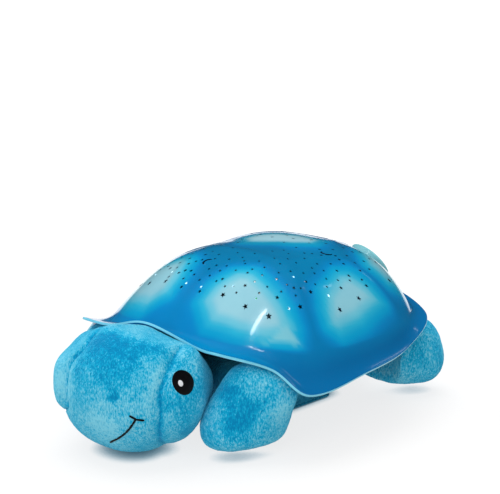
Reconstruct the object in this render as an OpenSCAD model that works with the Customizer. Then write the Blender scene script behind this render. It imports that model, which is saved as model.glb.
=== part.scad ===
// Star night light projector: a plush turtle that carries a lamp module under a
// flared, star-pierced shell. Millimetres, +Z up, head towards -Y, the origin on
// the ground under the middle of the turtle's length.

/* [Shell] */
// Full width of the shell's rim
shell_w = 215; // [190:1:260]
// Reach of the rim ahead of the origin, over the neck
shell_front = 88; // [80:1:106]
// Reach of the rim behind the origin, over the tail
shell_back = 133; // [122:1:160]
// Height of the dome's top above the ground
shell_top = 117; // [110:1:140]
// Where the dome's top lies behind the origin
shell_top_y = 23.5; // [10:0.5:36]
// Wall thickness of the moulded shell
shell_wall = 1.8; // [1.2:0.1:2.6]
// Width of the flared skirt at the front
skirt_front = 18; // [14:0.5:24]
// Width of the flared skirt at the sides
skirt_side = 14; // [11:0.5:20]
// Width of the flared skirt at the back
skirt_back = 12.5; // [10:0.5:20]
// How far the skirt's edge turns up from its own slope, in degrees
skirt_flare = 22; // [0:1:30]
// Depth of the scute panels between their soft ridges
scute_relief = 1.1; // [0:0.1:1.6]

/* [Star holes] */
// Number of places on the spiral of small stars round the crown
star_count = 50; // [30:1:64]
// Radius of the smallest star, by the dome's top
star_small = 1.0; // [0.7:0.05:1.4]
// Radius of the largest star, low on the side panels
star_large = 2.2; // [1.6:0.05:2.6]

/* [Module tray] */
// Height of the tray's underside above the ground
tray_z = 56; // [52:0.5:60]
// Thickness of the tray's plate
tray_t = 2.5; // [2:0.1:3.5]
// Gap between the dome's waist and the tray's side edge
tray_gap = 7.5; // [6:0.5:12]
// Height of the stiffening lip round the tray
lip_h = 5; // [3:0.5:7]
// Radius of the screw bosses inside the shell
boss_r = 3.6; // [3:0.1:4.5]

/* [Battery bay] */
// Diameter of one cell
cell_d = 10.5; // [10.5:0.5:14.5]
// Length of one cell with its nub
cell_len = 44.5; // [42:0.5:50.5]
// Compressed length of a contact spring
spring_len = 6.5; // [5:0.5:8]
// Thickness of the battery door
door_t = 2; // [1.6:0.1:2.6]
// Running gap round the battery door
door_gap = 0.3; // [0.2:0.05:0.5]

/* [Light unit] */
// Width of the main circuit board
board_w = 68; // [56:1:90]
// Length of the main circuit board
board_l = 46; // [40:1:56]
// Thickness of the circuit boards
board_t = 1.6; // [1:0.1:2]
// Diameter of one lamp
led_d = 5; // [3:0.5:5]
// Height of the lamp holder above the main board
holder_h = 9; // [6:0.5:14]

/* [Control pod] */
// Radius of the control cover on the shell's back slope
pod_r = 17; // [16.5:0.5:18]
// Heading of the pod round the dome: 0 is the turtle's left, 90 straight back
pod_heading = 72; // [70:1:90]
// Where the pod sits between the dome's top (0) and its waist (1)
pod_place = 0.82; // [0.76:0.01:0.83]
// Rise of the cover's crown above its edge
pod_crown = 2.2; // [1.5:0.1:3]
// Radius of the power button
power_r = 4; // [3.4:0.1:4.3]
// Radius of each colour button
colour_r = 3.2; // [2.6:0.1:3.4]
// Travel of a button
button_travel = 0.9; // [0.5:0.1:1]
// Running gap round a button
button_gap = 0.25; // [0.15:0.05:0.4]

/* [Plush] */
// Width of the plush body
body_w = 164; // [154:1:172]
// Front of the plush body ahead of the origin
body_front = 54; // [44:1:58]
// Back of the plush body behind the origin
body_back = 104; // [96:1:112]
// Height of the plush body's top above the ground
body_top = 53.6; // [49:0.1:57.6]
// Half width of the head
head_rx = 52.5; // [44:0.5:58]
// Half length of the head
head_ry = 50; // [44:0.5:56]
// Half height of the head
head_rz = 46.5; // [40:0.5:50]
// Length from the tip of the nose to the origin
nose_reach = 148; // [140:1:160]
// Length from the origin to the tip of the tail
tail_reach = 148; // [138:1:160]

/* [Belly opening] */
// Width of the opening in the belly
belly_w = 50; // [48:1:60]
// Length of the opening in the belly
belly_l = 70; // [68:1:80]
// Thickness of the belly flap
flap_t = 2.4; // [1.6:0.1:3]
// Width of the hook-and-loop strips that close the flap
strip_w = 12; // [8:1:16]

/* [Hidden] */
$fn = 48;

// Small distances shared by several pieces
cut = 1;          // how far a cutter runs past the face it opens
soft_gap = 0.3;   // air between two soft or separate pieces
seat_gap = 0.3;   // air round a piece that drops into its seat

// ---- Shell form -------------------------------------------------------------

shell_half_w = shell_w / 2;
dome_mid_y = 21.8;                          // headings are taken about this point
waist_half_w = shell_half_w - skirt_side;
waist_front = shell_front - skirt_front;
waist_back = shell_back - skirt_back;
waist_side_z = 66.4;
waist_front_z = 76.4;
waist_back_z = 74.5;
square_front = 2.4;                         // how square the waist's outline is
square_back = 2.8;
shoulder_side = 54;                         // slope of the dome as it meets the skirt
shoulder_front = 48.5;
shoulder_back = 72;
dome_rows = 8;
skirt_rows = 4;

// The right half of the rim: share of the half width, share of the reach, height.
// The front arches over the neck, the tip curls beside the head, the corner hangs
// lowest over the front flipper and the back rises again over the tail.
rim_half = [
  [0.00, -1.00, 83.7],   // middle of the front arch
  [0.39, -0.94, 73.4],   // hollow beside the arch
  [0.59, -0.98, 74.6],   // upturned tip
  [0.78, -0.67, 62.6],   // edge over the front flipper
  [0.97, -0.52, 46.7],   // low corner
  [1.00, 0.065, 50.1],   // side
  [0.94, 0.457, 54.0],   // side, towards the back
  [0.755, 0.80, 66.6],   // back corner
  [0.00, 1.00, 74.2]     // middle of the back
];
rim_half_steps = [4, 2, 3, 3, 4, 4, 4, 6];  // points drawn between one key and the next

// Headings and places of the scute panels: the top one, then three to a side
scute_seats = [[90, 0.15], [-54, 0.74], [3, 0.76], [52, 0.74],
               [234, 0.74], [177, 0.76], [128, 0.74], [-90, 0.60], [90, 0.86]];
scute_edge = 14;                            // width over which a panel sinks

function unit(v) = v / norm(v);
function mix(a, b, s) = a + (b - a) * s;
function flip_x(p) = [-p.x, p.y, p.z];
function along(a) = [cos(a), sin(a), 0];
function reach_y(v) = v < 0 ? v * shell_front : v * shell_back;

rim_right = [for (k = rim_half) [k[0] * shell_half_w, reach_y(k[1]), k[2]]];
rim_keys = concat(rim_right, [for (i = [len(rim_right) - 2 : -1 : 1]) flip_x(rim_right[i])]);
rim_steps = concat(rim_half_steps, [for (i = [len(rim_half_steps) - 1 : -1 : 0]) rim_half_steps[i]]);

// A closed smooth curve through the keys, with knots at the root of each chord
function ring(list, i) = list[(i + len(list)) % len(list)];
function knot(i) = sqrt(norm(ring(rim_keys, i + 1) - ring(rim_keys, i)));
function tangent(i) = (ring(rim_keys, i + 1) - ring(rim_keys, i - 1)) / (knot(i) + knot(i - 1));
function hermite(a, b, ta, tb, s) =
  a * (2 * pow(s, 3) - 3 * s * s + 1) + ta * (pow(s, 3) - 2 * s * s + s)
  + b * (3 * s * s - 2 * pow(s, 3)) + tb * (pow(s, 3) - s * s);
rim = [for (i = [0 : len(rim_keys) - 1]) for (s = [0 : rim_steps[i] - 1])
  hermite(rim_keys[i], ring(rim_keys, i + 1), tangent(i) * knot(i), tangent(i + 1) * knot(i),
          s / rim_steps[i])];

// Outline and slope of the waist, where the dome turns into the skirt
function heading(p) = atan2(p.y - dome_mid_y, p.x);
function oval_reach(a, half_w, front, back, front_n, back_n) =
  let (ahead = sin(a) < 0, n = ahead ? front_n : back_n,
       half_l = ahead ? front + dome_mid_y : back - dome_mid_y)
  pow(pow(abs(cos(a)) / half_w, n) + pow(abs(sin(a)) / half_l, n), -1 / n);
function blend_round(a, side, front, back) = mix(side, sin(a) < 0 ? front : back, pow(sin(a), 2));
function waist_point(a) =
  along(a) * oval_reach(a, waist_half_w, waist_front, waist_back, square_front, square_back)
  + [0, dome_mid_y, blend_round(a, waist_side_z, waist_front_z, waist_back_z)];

function bezier(p, s) = p[0] * pow(1 - s, 3) + p[1] * 3 * s * pow(1 - s, 2)
  + p[2] * 3 * s * s * (1 - s) + p[3] * pow(s, 3);

dome_apex = [0, shell_top_y, shell_top];
crown_pull = 0.5;                           // length of the flat part of the crown
shoulder_pull = 0.42;                       // roundness of the shoulder
function dome_controls(a) =
  let (w = waist_point(a), run = w - dome_apex, flat = [run.x, run.y, 0], out = unit(flat),
       slope = blend_round(a, shoulder_side, shoulder_front, shoulder_back),
       shoulder = w + (out * -cos(slope) + [0, 0, sin(slope)]) * norm(run) * shoulder_pull)
  [dome_apex, dome_apex + flat * crown_pull,
   [shoulder.x, shoulder.y, min(shoulder.z, shell_top)], w];
function smooth_dome(a, t) = bezier(dome_controls(a), t);

lamp_y = 22;
relief_core = [0, lamp_y, 40];              // panels sink towards this point
scute_centres = [for (s = scute_seats) smooth_dome(s[0], s[1])];
function scute_depth(p) =
  let (far = [for (c = scute_centres) norm(p - c)], near = min(far),
       next = min([for (f = far) if (f > near) f]), s = min(1, (next - near) / scute_edge))
  scute_relief * s * s * (3 - 2 * s);
function dome_point(a, t) =
  let (p = smooth_dome(a, t), fade = 1 - pow(t, 6))
  p - unit(p - relief_core) * scute_depth(p) * fade;

function skirt_point(r, s) =
  let (a = heading(r), w = waist_point(a), run = r - w, flat = norm([run.x, run.y]),
       out = [run.x, run.y, 0] / flat,
       start = blend_round(a, shoulder_side, shoulder_front, shoulder_back),
       end = atan2(run.z, flat) + skirt_flare, pull = norm(run) * 0.38)
  bezier([w, w + (out * cos(start) - [0, 0, sin(start)]) * pull,
          r - (out * cos(end) + [0, 0, sin(end)]) * pull, r], s);

shell_rows = concat(
  [for (k = [1 : dome_rows]) [for (r = rim) dome_point(heading(r), k / dome_rows)]],
  [for (k = [1 : skirt_rows]) [for (r = rim) skirt_point(r, k / skirt_rows)]]);
row_last = len(shell_rows) - 1;
ring_n = len(rim);

// Outward normal of the shell at a row and a column
function row_or_apex(k, j) = k < 0 ? dome_apex : shell_rows[min(k, row_last)][j];
function shell_normal(k, j) =
  unit(cross(row_or_apex(min(k + 1, row_last), j) - row_or_apex(k - 1, j),
             ring(shell_rows[k], j + 1) - ring(shell_rows[k], j - 1)));

// Closed solids made of rings: the shell's wall, and its core for trimming
function inset_rows(depth) = [for (k = [0 : row_last]) [for (j = [0 : ring_n - 1])
  shell_rows[k][j] - shell_normal(k, j) * depth]];
function fan(tip, first, up) = [for (j = [0 : ring_n - 1]) let (n = (j + 1) % ring_n)
  up ? [tip, first + n, first + j] : [tip, first + j, first + n]];
function band(first, second, up) = [for (j = [0 : ring_n - 1]) let (n = (j + 1) % ring_n)
  for (f = up ? [[first + j, first + n, second + j], [first + n, second + n, second + j]]
              : [[first + j, second + j, first + n], [first + n, second + j, second + n]]) f];
function flat_list(rows) = [for (r = rows) for (p = r) p];

module shell_wall_solid() {
  inner = inset_rows(shell_wall);
  outer_tip = 0;
  outer_first = 1;
  inner_tip = outer_first + len(shell_rows) * ring_n;
  inner_first = inner_tip + 1;
  polyhedron(
    points = concat([dome_apex], flat_list(shell_rows),
                    [dome_apex - [0, 0, shell_wall]], flat_list(inner)),
    faces = concat(
      fan(outer_tip, outer_first, true),
      [for (k = [0 : row_last - 1])
        each band(outer_first + k * ring_n, outer_first + (k + 1) * ring_n, true)],
      band(outer_first + row_last * ring_n, inner_first + row_last * ring_n, true),
      [for (k = [0 : row_last - 1])
        each band(inner_first + k * ring_n, inner_first + (k + 1) * ring_n, false)],
      fan(inner_tip, inner_first, false)));
}

// The space under the dome, as deep as the middle of its wall
module dome_core() {
  rows = [for (k = [0 : dome_rows - 1]) inset_rows(shell_wall / 2)[k]];
  floor_tip = 1 + dome_rows * ring_n;
  polyhedron(
    points = concat([dome_apex - [0, 0, shell_wall / 2]], flat_list(rows),
                    [[0, dome_mid_y, tray_z]]),
    faces = concat(
      fan(0, 1, true),
      [for (k = [0 : dome_rows - 2]) each band(1 + k * ring_n, 1 + (k + 1) * ring_n, true)],
      fan(floor_tip, 1 + (dome_rows - 1) * ring_n, false)));
}

// ---- Places that several pieces share -----------------------------------------

// Tray and screw bosses
tray_top = tray_z + tray_t;
tray_half_w = waist_half_w - tray_gap;
tray_front = body_front - 4;
tray_back = waist_back - 8.5;
tray_square = 2.6;
pad_h = 2.5;                                // raised pad under each boss
boss_foot = tray_top + pad_h;
boss_inset = 9;
boss_headings = [-48, -132, 4, 176, 52, 128];
screw_r = 1.3;
screw_head_r = 2.6;
screw_head_h = 1.8;
screw_hole_r = 1.5;
pilot_r = 1.45;
screw_len = 12;
function tray_reach(a) = oval_reach(a, tray_half_w, tray_front, tray_back, tray_square, tray_square);
function boss_at(a) = along(a) * (tray_reach(a) - boss_inset) + [0, dome_mid_y, 0];

// Battery bay under the tray
cell_pitch = cell_d + 0.4;
cell_n = 3;
plate_t = 0.5;
bay_l = cell_len + spring_len + 2 * plate_t;
bay_w = cell_n * cell_pitch + 1.4;
bay_mid_y = 25;
bay_y0 = bay_mid_y - bay_l / 2;
bay_y1 = bay_mid_y + bay_l / 2;
bay_wall = 3;
bay_roof = tray_z - 0.3;
cell_z = bay_roof - 0.6 - cell_d / 2;
door_z1 = cell_z - cell_d / 2 - 0.6;
door_z0 = door_z1 - door_t;
latch_l = 8;                                // block ahead of the bay that takes the door's screw
latch_y = bay_y0 - latch_l / 2;
door_rim = 1.5;                             // width of the seat round the door
door_screw_r = 1.0;
door_screw_head_r = 2.2;
door_screw_len = 9;

// Circuit board and lamps
standoff_h = 5.5;
board_z = tray_top + standoff_h;
board_top = board_z + board_t;
board_mid_y = lamp_y;
standoff_in = 4.5;
standoff_r = 3;
board_screw_r = 0.9;
holder_r = 9;
holder_top = board_top + holder_h;
led_ring = 4.6;
led_body_h = 6;
lamp_point = [0, lamp_y, holder_top + led_body_h - 1];

// Control pod, on the back slope: its own X lies level and its own Y runs down the slope
pod_centre = smooth_dome(pod_heading, pod_place);
pod_axis = unit(cross(smooth_dome(pod_heading, pod_place + 0.01) - pod_centre,
                      smooth_dome(pod_heading + 1, pod_place) - pod_centre));
pod_x = unit(cross([0, 0, -1], pod_axis));
pod_y = cross(pod_axis, pod_x);
collar_wall = 2.6;
collar_bore = pod_r - collar_wall;
collar_top = -0.5;
collar_foot = -6;
cover_edge = 1.2;
cover_skirt_r = collar_bore - seat_gap;
cover_skirt_wall = 1.2;
cover_under = collar_top + 0.7;             // underside of the cover's face
crown_r = (pod_r * pod_r + pod_crown * pod_crown) / (2 * pod_crown);
cover_top = collar_top + cover_edge + pod_crown;
function crown_z(rho) = cover_top - rho * rho / (2 * crown_r);
cap_proud = 1.1;
cap_flange = 0.8;
cap_flange_t = 1;
cap_flange_top = cover_under - seat_gap;
colour_ring = 8.6;
power_place = [0, -6.2];
colour_places = [for (a = [15, 90, 165]) [cos(a), sin(a)] * colour_ring];
pod_board_r = cover_skirt_r - cover_skirt_wall - seat_gap;
pod_board_top = -7.4;
switch_w = 4.5;
switch_h = 3.1;
switch_bore = 1.75;
stem_r = 1.45;
stem_depth = 0.3;                           // how far a stem reaches into its switch at rest
post_r = 1.5;
post_places = [[-9, -6], [9, -6]];
post_pilot_r = 0.75;
lug_arc = 24;

// Places on the plush
head_mid = [0, head_ry - nose_reach, head_rz];
body_half_w = body_w / 2;
body_corner = 44;
body_side_z = 38;                           // the body's sides stand upright above this
sole_half_w = 33;
sole_front = 26;
sole_back = 78;
flap_recess = flap_t + 1.8;                 // depth of the step that holds the flap and strips
belly_y0 = bay_mid_y - belly_l / 2 - 4;
belly_y1 = belly_y0 + belly_l;
ledge_side = 3;
ledge_back = strip_w + 2;
flap_z0 = 0.6;
flap_z1 = flap_z0 + flap_t;
flap_y0 = belly_y0 - 2;
flap_y1 = belly_y1 + ledge_back - 1;
flap_w = belly_w + 2 * ledge_side - 1;
strip_t = (flap_recess - flap_z1) / 2;

// ---- Tools for shapes -----------------------------------------------------------

module in_pod() {
  turn = atan2(pod_axis.y, pod_axis.x);
  translate(pod_centre) rotate([0, acos(pod_axis.z), turn]) rotate([0, 0, -90]) children();
}

// A disc whose top is an arc: rise above the edge, edge thickness, edge radius
module crowned_disc(r, edge_h, rise) {
  arc_r = (r * r + rise * rise) / (2 * rise);
  rotate_extrude() intersection() {
    translate([0, edge_h + rise - arc_r]) circle(r = arc_r, $fn = 720);
    square([r, edge_h + rise + cut]);
  }
}

module rounded_block(x0, x1, y0, y1, r, h) {
  translate([x0 + r, y0, 0]) cube([x1 - x0 - 2 * r, y1 - y0, h]);
  translate([x0, y0 + r, 0]) cube([x1 - x0, y1 - y0 - 2 * r, h]);
  for (x = [x0 + r, x1 - r], y = [y0 + r, y1 - r]) translate([x, y, 0]) cylinder(r = r, h = h);
}

module tray_outline(inset) {
  polygon([for (a = [0 : 6 : 354])
    let (p = along(a) * (tray_reach(a) - inset)) [p.x, p.y + dome_mid_y]]);
}

module star_2d(r) {
  waist = 0.45;
  polygon([for (k = [0 : 9]) [cos(36 * k + 18), sin(36 * k + 18)] * (k % 2 == 0 ? r : r * waist)]);
}

module crescent_2d(r) {
  difference() {
    circle(r, $fn = 24);
    translate([r * 0.45, 0]) circle(r * 0.85, $fn = 24);
  }
}

// A cutter that follows the ray from the lamps through a point of the dome
module along_ray(p) {
  ray = p - lamp_point;
  translate(p) rotate([0, acos(ray.z / norm(ray)), atan2(ray.y, ray.x)])
    linear_extrude(2 * shell_wall + 6, center = true) children();
}

// A round tube through points, its cross-section turned about one fixed axis
module swept_tube(path, r, sides, axis) {
  last = len(path) - 1;
  function way(i) = unit(path[min(i + 1, last)] - path[max(i - 1, 0)]);
  function side(i) = unit(cross(way(i), axis));
  function up(i) = cross(side(i), way(i));
  points = [for (i = [0 : last]) for (k = [0 : sides - 1])
    path[i] + (side(i) * cos(360 * k / sides) + up(i) * sin(360 * k / sides)) * r];
  polyhedron(points = points, faces = concat(
    [[for (k = [0 : sides - 1]) k]],
    [for (i = [0 : last - 1]) for (k = [0 : sides - 1]) let (n = (k + 1) % sides)
      each [[i * sides + k, (i + 1) * sides + k, i * sides + n],
            [i * sides + n, (i + 1) * sides + k, (i + 1) * sides + n]]],
    [[for (k = [sides - 1 : -1 : 0]) last * sides + k]]));
}

module screw(r, head_r, head_h, length) {
  cylinder(r = r, h = length);
  difference() {
    translate([0, 0, -head_h]) cylinder(r = head_r, h = head_h);
    for (turn = [0, 90]) rotate(turn)
      translate([-head_r * 0.6, -0.3, -head_h - cut]) cube([head_r * 1.2, 0.6, head_h * 0.55 + cut]);
  }
}

// ---- Shell ------------------------------------------------------------------------

golden_turn = 137.508;
crown_first = 0.12;
crown_last = 0.56;
crown_growth = 0.35;                        // how far small stars grow towards the largest
star_margin = 5;                            // plastic kept between two cut-outs
star_turn = 47;
// Stars over the side panels, mirrored: heading, place on the dome, share of the largest
side_stars = [
  [-44, 0.82, 1], [-55, 0.77, 0.9], [-68, 0.71, 0.85], [-83, 0.72, 0.65], [-73, 0.57, 0.65],
  [-57, 0.60, 0.65], [-39, 0.68, 0.7], [-28, 0.75, 0.85], [-28, 0.60, 0.6], [-18, 0.64, 0.8],
  [-5, 0.80, 0.9], [12, 0.77, 0.85], [6, 0.66, 0.7], [23, 0.72, 0.7], [19, 0.60, 0.65],
  [42, 0.80, 0.9], [50, 0.68, 0.7], [60, 0.80, 0.85]
];
side_places = [for (s = side_stars, side = [0, 1]) dome_point(side ? 180 - s[0] : s[0], s[1])];
moon_seats = [[-100, 0.42], [150, 0.5], [30, 0.36]];
moon_r = 3;
moon_places = [for (s = moon_seats) dome_point(s[0], s[1])];
crown_places = [for (i = [0 : star_count - 1])
  dome_point(i * golden_turn, mix(crown_first, crown_last, sqrt((i + 0.5) / star_count)))];
function apart(p, others, gap) = min([for (q = others) norm(p - q)]) > gap;

module star_cutters() {
  for (i = [0 : len(side_places) - 1])
    if (apart(side_places[i], [pod_centre], pod_r + star_margin))
      along_ray(side_places[i]) rotate(i * star_turn) star_2d(star_large * side_stars[floor(i / 2)][2]);
  for (i = [0 : star_count - 1]) {
    p = crown_places[i];
    growth = crown_growth * pow(i / star_count, 2);
    if (apart(p, side_places, star_margin) && apart(p, moon_places, moon_r + star_margin / 2)
        && apart(p, [pod_centre], pod_r + star_margin))
      along_ray(p) rotate(i * star_turn) star_2d(mix(star_small, star_large, growth));
  }
}

module shell_bosses() {
  gusset_t = 1.2;
  gusset_reach = 9;
  gusset_rise = 12;
  for (a = boss_headings) {
    foot = boss_at(a);
    translate([foot.x, foot.y, boss_foot]) {
      cylinder(r = boss_r, h = shell_top - boss_foot, $fn = 16);
      for (side = [-90, 90])
        hull() {
          translate([0, 0, gusset_rise]) cylinder(d = gusset_t, h = 1, $fn = 4);
          translate([0, 0, shell_top - boss_foot - 1]) cylinder(d = gusset_t, h = 1, $fn = 4);
          translate(along(a + side) * gusset_reach + [0, 0, shell_top - boss_foot - 1])
            cylinder(d = gusset_t, h = 1, $fn = 4);
        }
    }
  }
}

module shell() {
  color("deepskyblue", 0.8) difference() {
    union() {
      shell_wall_solid();
      intersection() {
        shell_bosses();
        dome_core();
      }
      in_pod() translate([0, 0, collar_foot]) cylinder(r = pod_r, h = collar_top - collar_foot);
    }
    in_pod() translate([0, 0, collar_foot - 8]) cylinder(r = collar_bore, h = 30);
    for (a = boss_headings) translate(boss_at(a) + [0, 0, boss_foot - cut])
      cylinder(r = pilot_r, h = screw_len, $fn = 16);
    star_cutters();
    for (p = moon_places) along_ray(p) crescent_2d(moon_r);
  }
}

module shell_screws() {
  color("silver") for (a = boss_headings)
    translate(boss_at(a) + [0, 0, tray_z + screw_head_h + seat_gap])
      screw(screw_r, screw_head_r, screw_head_h, screw_len - 2);
}

// ---- Module tray --------------------------------------------------------------------

module tray_body() {
  translate([0, 0, tray_z]) linear_extrude(tray_t) tray_outline(0);
  translate([0, 0, tray_top]) linear_extrude(lip_h) difference() {
    tray_outline(0);
    tray_outline(2);
  }
  for (a = boss_headings) translate(boss_at(a) + [0, 0, tray_top]) cylinder(r = boss_r + 1, h = pad_h);
  for (x = [-1, 1], y = [-1, 1])
    translate([x * (board_w / 2 - standoff_in), board_mid_y + y * (board_l / 2 - standoff_in), tray_top])
      cylinder(r = standoff_r, h = standoff_h);
  translate([-bay_w / 2 - bay_wall, bay_y0 - latch_l, door_z0])
    cube([bay_w + 2 * bay_wall, bay_l + latch_l + bay_wall, tray_z - door_z0]);
}

module module_tray() {
  color("white") difference() {
    tray_body();
    // bay for the cells, and the seat of its door
    translate([-bay_w / 2, bay_y0, door_z0 - cut]) cube([bay_w, bay_l, bay_roof - door_z0 + cut]);
    translate([-bay_w / 2 - door_rim, bay_y0 - latch_l + door_rim, door_z0 - cut])
      cube([bay_w + 2 * door_rim, bay_l + latch_l, door_t + cut]);
    // pilot hole for the door's screw
    translate([0, latch_y, door_z1 - cut]) cylinder(r = door_screw_r + 0.15, h = door_screw_len + 2);
    // slots for the two solder tags
    for (side = [-1, 1]) translate([side * cell_pitch - tag_w / 2 - 0.2, tag_y(side) - 0.2, bay_roof - cut])
      cube([tag_w + 0.4, plate_t + 0.4, tray_top - bay_roof + 2 * cut]);
    // screws from below
    for (a = boss_headings) translate(boss_at(a) + [0, 0, tray_z]) {
      translate([0, 0, -cut]) cylinder(r = screw_head_r + 0.2, h = screw_head_h + seat_gap + cut);
      cylinder(r = screw_hole_r, h = tray_t + pad_h + cut);
    }
    for (x = [-1, 1], y = [-1, 1])
      translate([x * (board_w / 2 - standoff_in), board_mid_y + y * (board_l / 2 - standoff_in), tray_top + 0.5])
        cylinder(r = board_screw_r + 0.1, h = standoff_h);
  }
}

// ---- Battery door, cells and contacts ------------------------------------------------

module battery_door() {
  color("white") difference() {
    translate([-bay_w / 2 - door_rim + door_gap, bay_y0 - latch_l + door_rim + door_gap, door_z0])
      cube([bay_w + 2 * (door_rim - door_gap), bay_l + latch_l - 2 * door_gap, door_t - door_gap / 2]);
    translate([0, latch_y, door_z0 - cut]) cylinder(r = door_screw_r + 0.25, h = door_t + 2 * cut);
    translate([0, latch_y, door_z0 - cut]) cylinder(r = door_screw_head_r + 0.25, h = 1 + cut);
    // finger grooves at the free end
    for (k = [0 : 3]) translate([-8, bay_y1 - 6 - 3 * k, door_z0 - cut]) cube([16, 1.2, 0.5 + cut]);
  }
}

module door_screw() {
  color("silver") translate([0, latch_y, door_z0 + 1]) screw(door_screw_r, door_screw_head_r, 0.9, door_screw_len);
}

function cell_x(i) = (i - 1) * cell_pitch;
function cell_turn(i) = i % 2 == 0 ? 1 : -1;

module battery(i) {
  nub_h = 1;
  nub_r = 1.9;
  edge = 0.3;
  color("gold") translate([cell_x(i), bay_mid_y, cell_z]) rotate([-90 * cell_turn(i), 0, 0])
    translate([0, 0, bay_l / 2 - plate_t - cell_len]) {
      cylinder(r = cell_d / 2 - edge, h = edge);
      translate([0, 0, edge]) cylinder(r = cell_d / 2, h = cell_len - nub_h - 2 * edge);
      translate([0, 0, cell_len - nub_h - edge]) cylinder(r = cell_d / 2 - edge, h = edge);
      translate([0, 0, cell_len - nub_h]) cylinder(r = nub_r, h = nub_h);
    }
}

module battery_1() { battery(0); }
module battery_2() { battery(1); }
module battery_3() { battery(2); }

module battery_springs() {
  wire_r = 0.35;
  wide = 3.6;
  narrow = 2.0;
  turns = 3;
  turn_steps = 9;
  rings = turns * turn_steps;
  coil = [for (k = [0 : rings]) let (a = 360 * k / turn_steps, s = k / rings, r = mix(wide, narrow, s))
    [r * cos(a), r * sin(a), mix(wire_r, spring_len - wire_r, s)]];
  color("silver") for (i = [0 : cell_n - 1])
    translate([cell_x(i), bay_mid_y, cell_z]) rotate([-90 * cell_turn(i), 0, 0])
      translate([0, 0, plate_t - bay_l / 2]) swept_tube(coil, wire_r, 5, [0, 0, 1]);
}

tag_w = 3;
tag_top = tray_top + 1.5;
lead_seat = 0.1;                            // solder between a lead's end and its pad
function tag_y(side) = side < 0 ? bay_y0 : bay_y1 - plate_t;

module battery_plates() {
  plate_w = 8.4;
  plate_h = 8;
  color("silver") for (side = [-1, 1]) {
    // the plate with a solder tag
    translate([side * cell_pitch - plate_w / 2, tag_y(side), cell_z - plate_h / 2])
      cube([plate_w, plate_t, plate_h]);
    translate([side * cell_pitch - tag_w / 2, tag_y(side), cell_z])
      cube([tag_w, plate_t, tag_top - cell_z]);
    // the plate that links the other two cells at this end
    translate([-side * cell_pitch / 2 - (cell_pitch + plate_w) / 2, tag_y(side), cell_z - plate_h / 2])
      cube([cell_pitch + plate_w, plate_t, plate_h]);
  }
}

module battery_leads() {
  lead_r = 0.7;
  bow = 3;
  for (side = [-1, 1]) {
    start = [side * cell_pitch, tag_y(side) + plate_t / 2, tag_top + lead_seat];
    rise = board_z - tag_top - 2 * lead_seat;
    color(side < 0 ? "black" : "red") swept_tube(
      [for (s = [0 : 0.125 : 1]) start + [0, side * bow * pow(sin(180 * s), 2) * 0.5, rise * s]],
      lead_r, 8, [1, 0, 0]);
  }
}

// ---- Circuit board and lamps ----------------------------------------------------------

module main_board() {
  color("darkgreen") difference() {
    translate([-board_w / 2, board_mid_y - board_l / 2, board_z]) cube([board_w, board_l, board_t]);
    for (x = [-1, 1], y = [-1, 1])
      translate([x * (board_w / 2 - standoff_in), board_mid_y + y * (board_l / 2 - standoff_in), board_z - cut])
        cylinder(r = board_screw_r + 0.2, h = board_t + 2 * cut);
  }
}

module board_screws() {
  head_h = 1.2;
  color("silver") for (x = [-1, 1], y = [-1, 1])
    translate([x * (board_w / 2 - standoff_in), board_mid_y + y * (board_l / 2 - standoff_in), board_top])
      rotate([180, 0, 0]) screw(board_screw_r, 1.9, head_h, standoff_h);
}

module timer_chip() {
  chip_l = 10;
  chip_w = 4;
  chip_h = 1.6;
  leg_n = 8;
  color("black") translate([-22, board_mid_y + 8, board_top]) {
    translate([-chip_l / 2, -chip_w / 2, 0.2]) cube([chip_l, chip_w, chip_h]);
    for (k = [0 : leg_n - 1], side = [-1, 1])
      translate([-chip_l / 2 + (k + 0.5) * chip_l / leg_n - 0.2, side * (chip_w / 2 + 0.5) - 0.5, 0])
        cube([0.4, 1, 0.8]);
  }
}

module capacitor() {
  color("midnightblue") translate([-22, board_mid_y - 8, board_top]) {
    cylinder(r = 3.1, h = 0.8);
    translate([0, 0, 0.8]) cylinder(r = 2.9, h = 0.8);
    translate([0, 0, 1.6]) cylinder(r = 3.15, h = 6);
  }
}

function led_place(k) = [led_ring * cos(120 * k + 90), lamp_y + led_ring * sin(120 * k + 90), 0];
pin_r = 0.3;
pin_gap = 1.27;

module led_holder() {
  color("white") difference() {
    union() {
      translate([0, lamp_y, board_top]) cylinder(r = holder_r + 2, h = 1.2);
      translate([0, lamp_y, board_top]) cylinder(r = holder_r, h = holder_h);
    }
    for (k = [0 : 2], side = [-1, 1]) translate(led_place(k) + [side * pin_gap, 0, board_top - cut])
      cylinder(r = pin_r + 0.15, h = holder_h + 2 * cut);
  }
}

module led(k, tint) {
  r = led_d / 2;
  flange_h = 1;
  color(tint) translate(led_place(k) + [0, 0, holder_top]) {
    cylinder(r = r + 0.4, h = flange_h);
    cylinder(r = r, h = led_body_h);
    translate([0, 0, led_body_h]) sphere(r = r);
    for (side = [-1, 1]) translate([side * pin_gap, 0, -holder_h]) cylinder(r = pin_r, h = holder_h + 0.5, $fn = 24);
  }
}

module led_blue() { led(0, "royalblue"); }
module led_green() { led(1, "limegreen"); }
module led_amber() { led(2, "orange"); }

// ---- Control pod --------------------------------------------------------------------------

module button_hole(r) { translate([0, 0, -10]) cylinder(r = r + button_gap, h = 20); }

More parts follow.
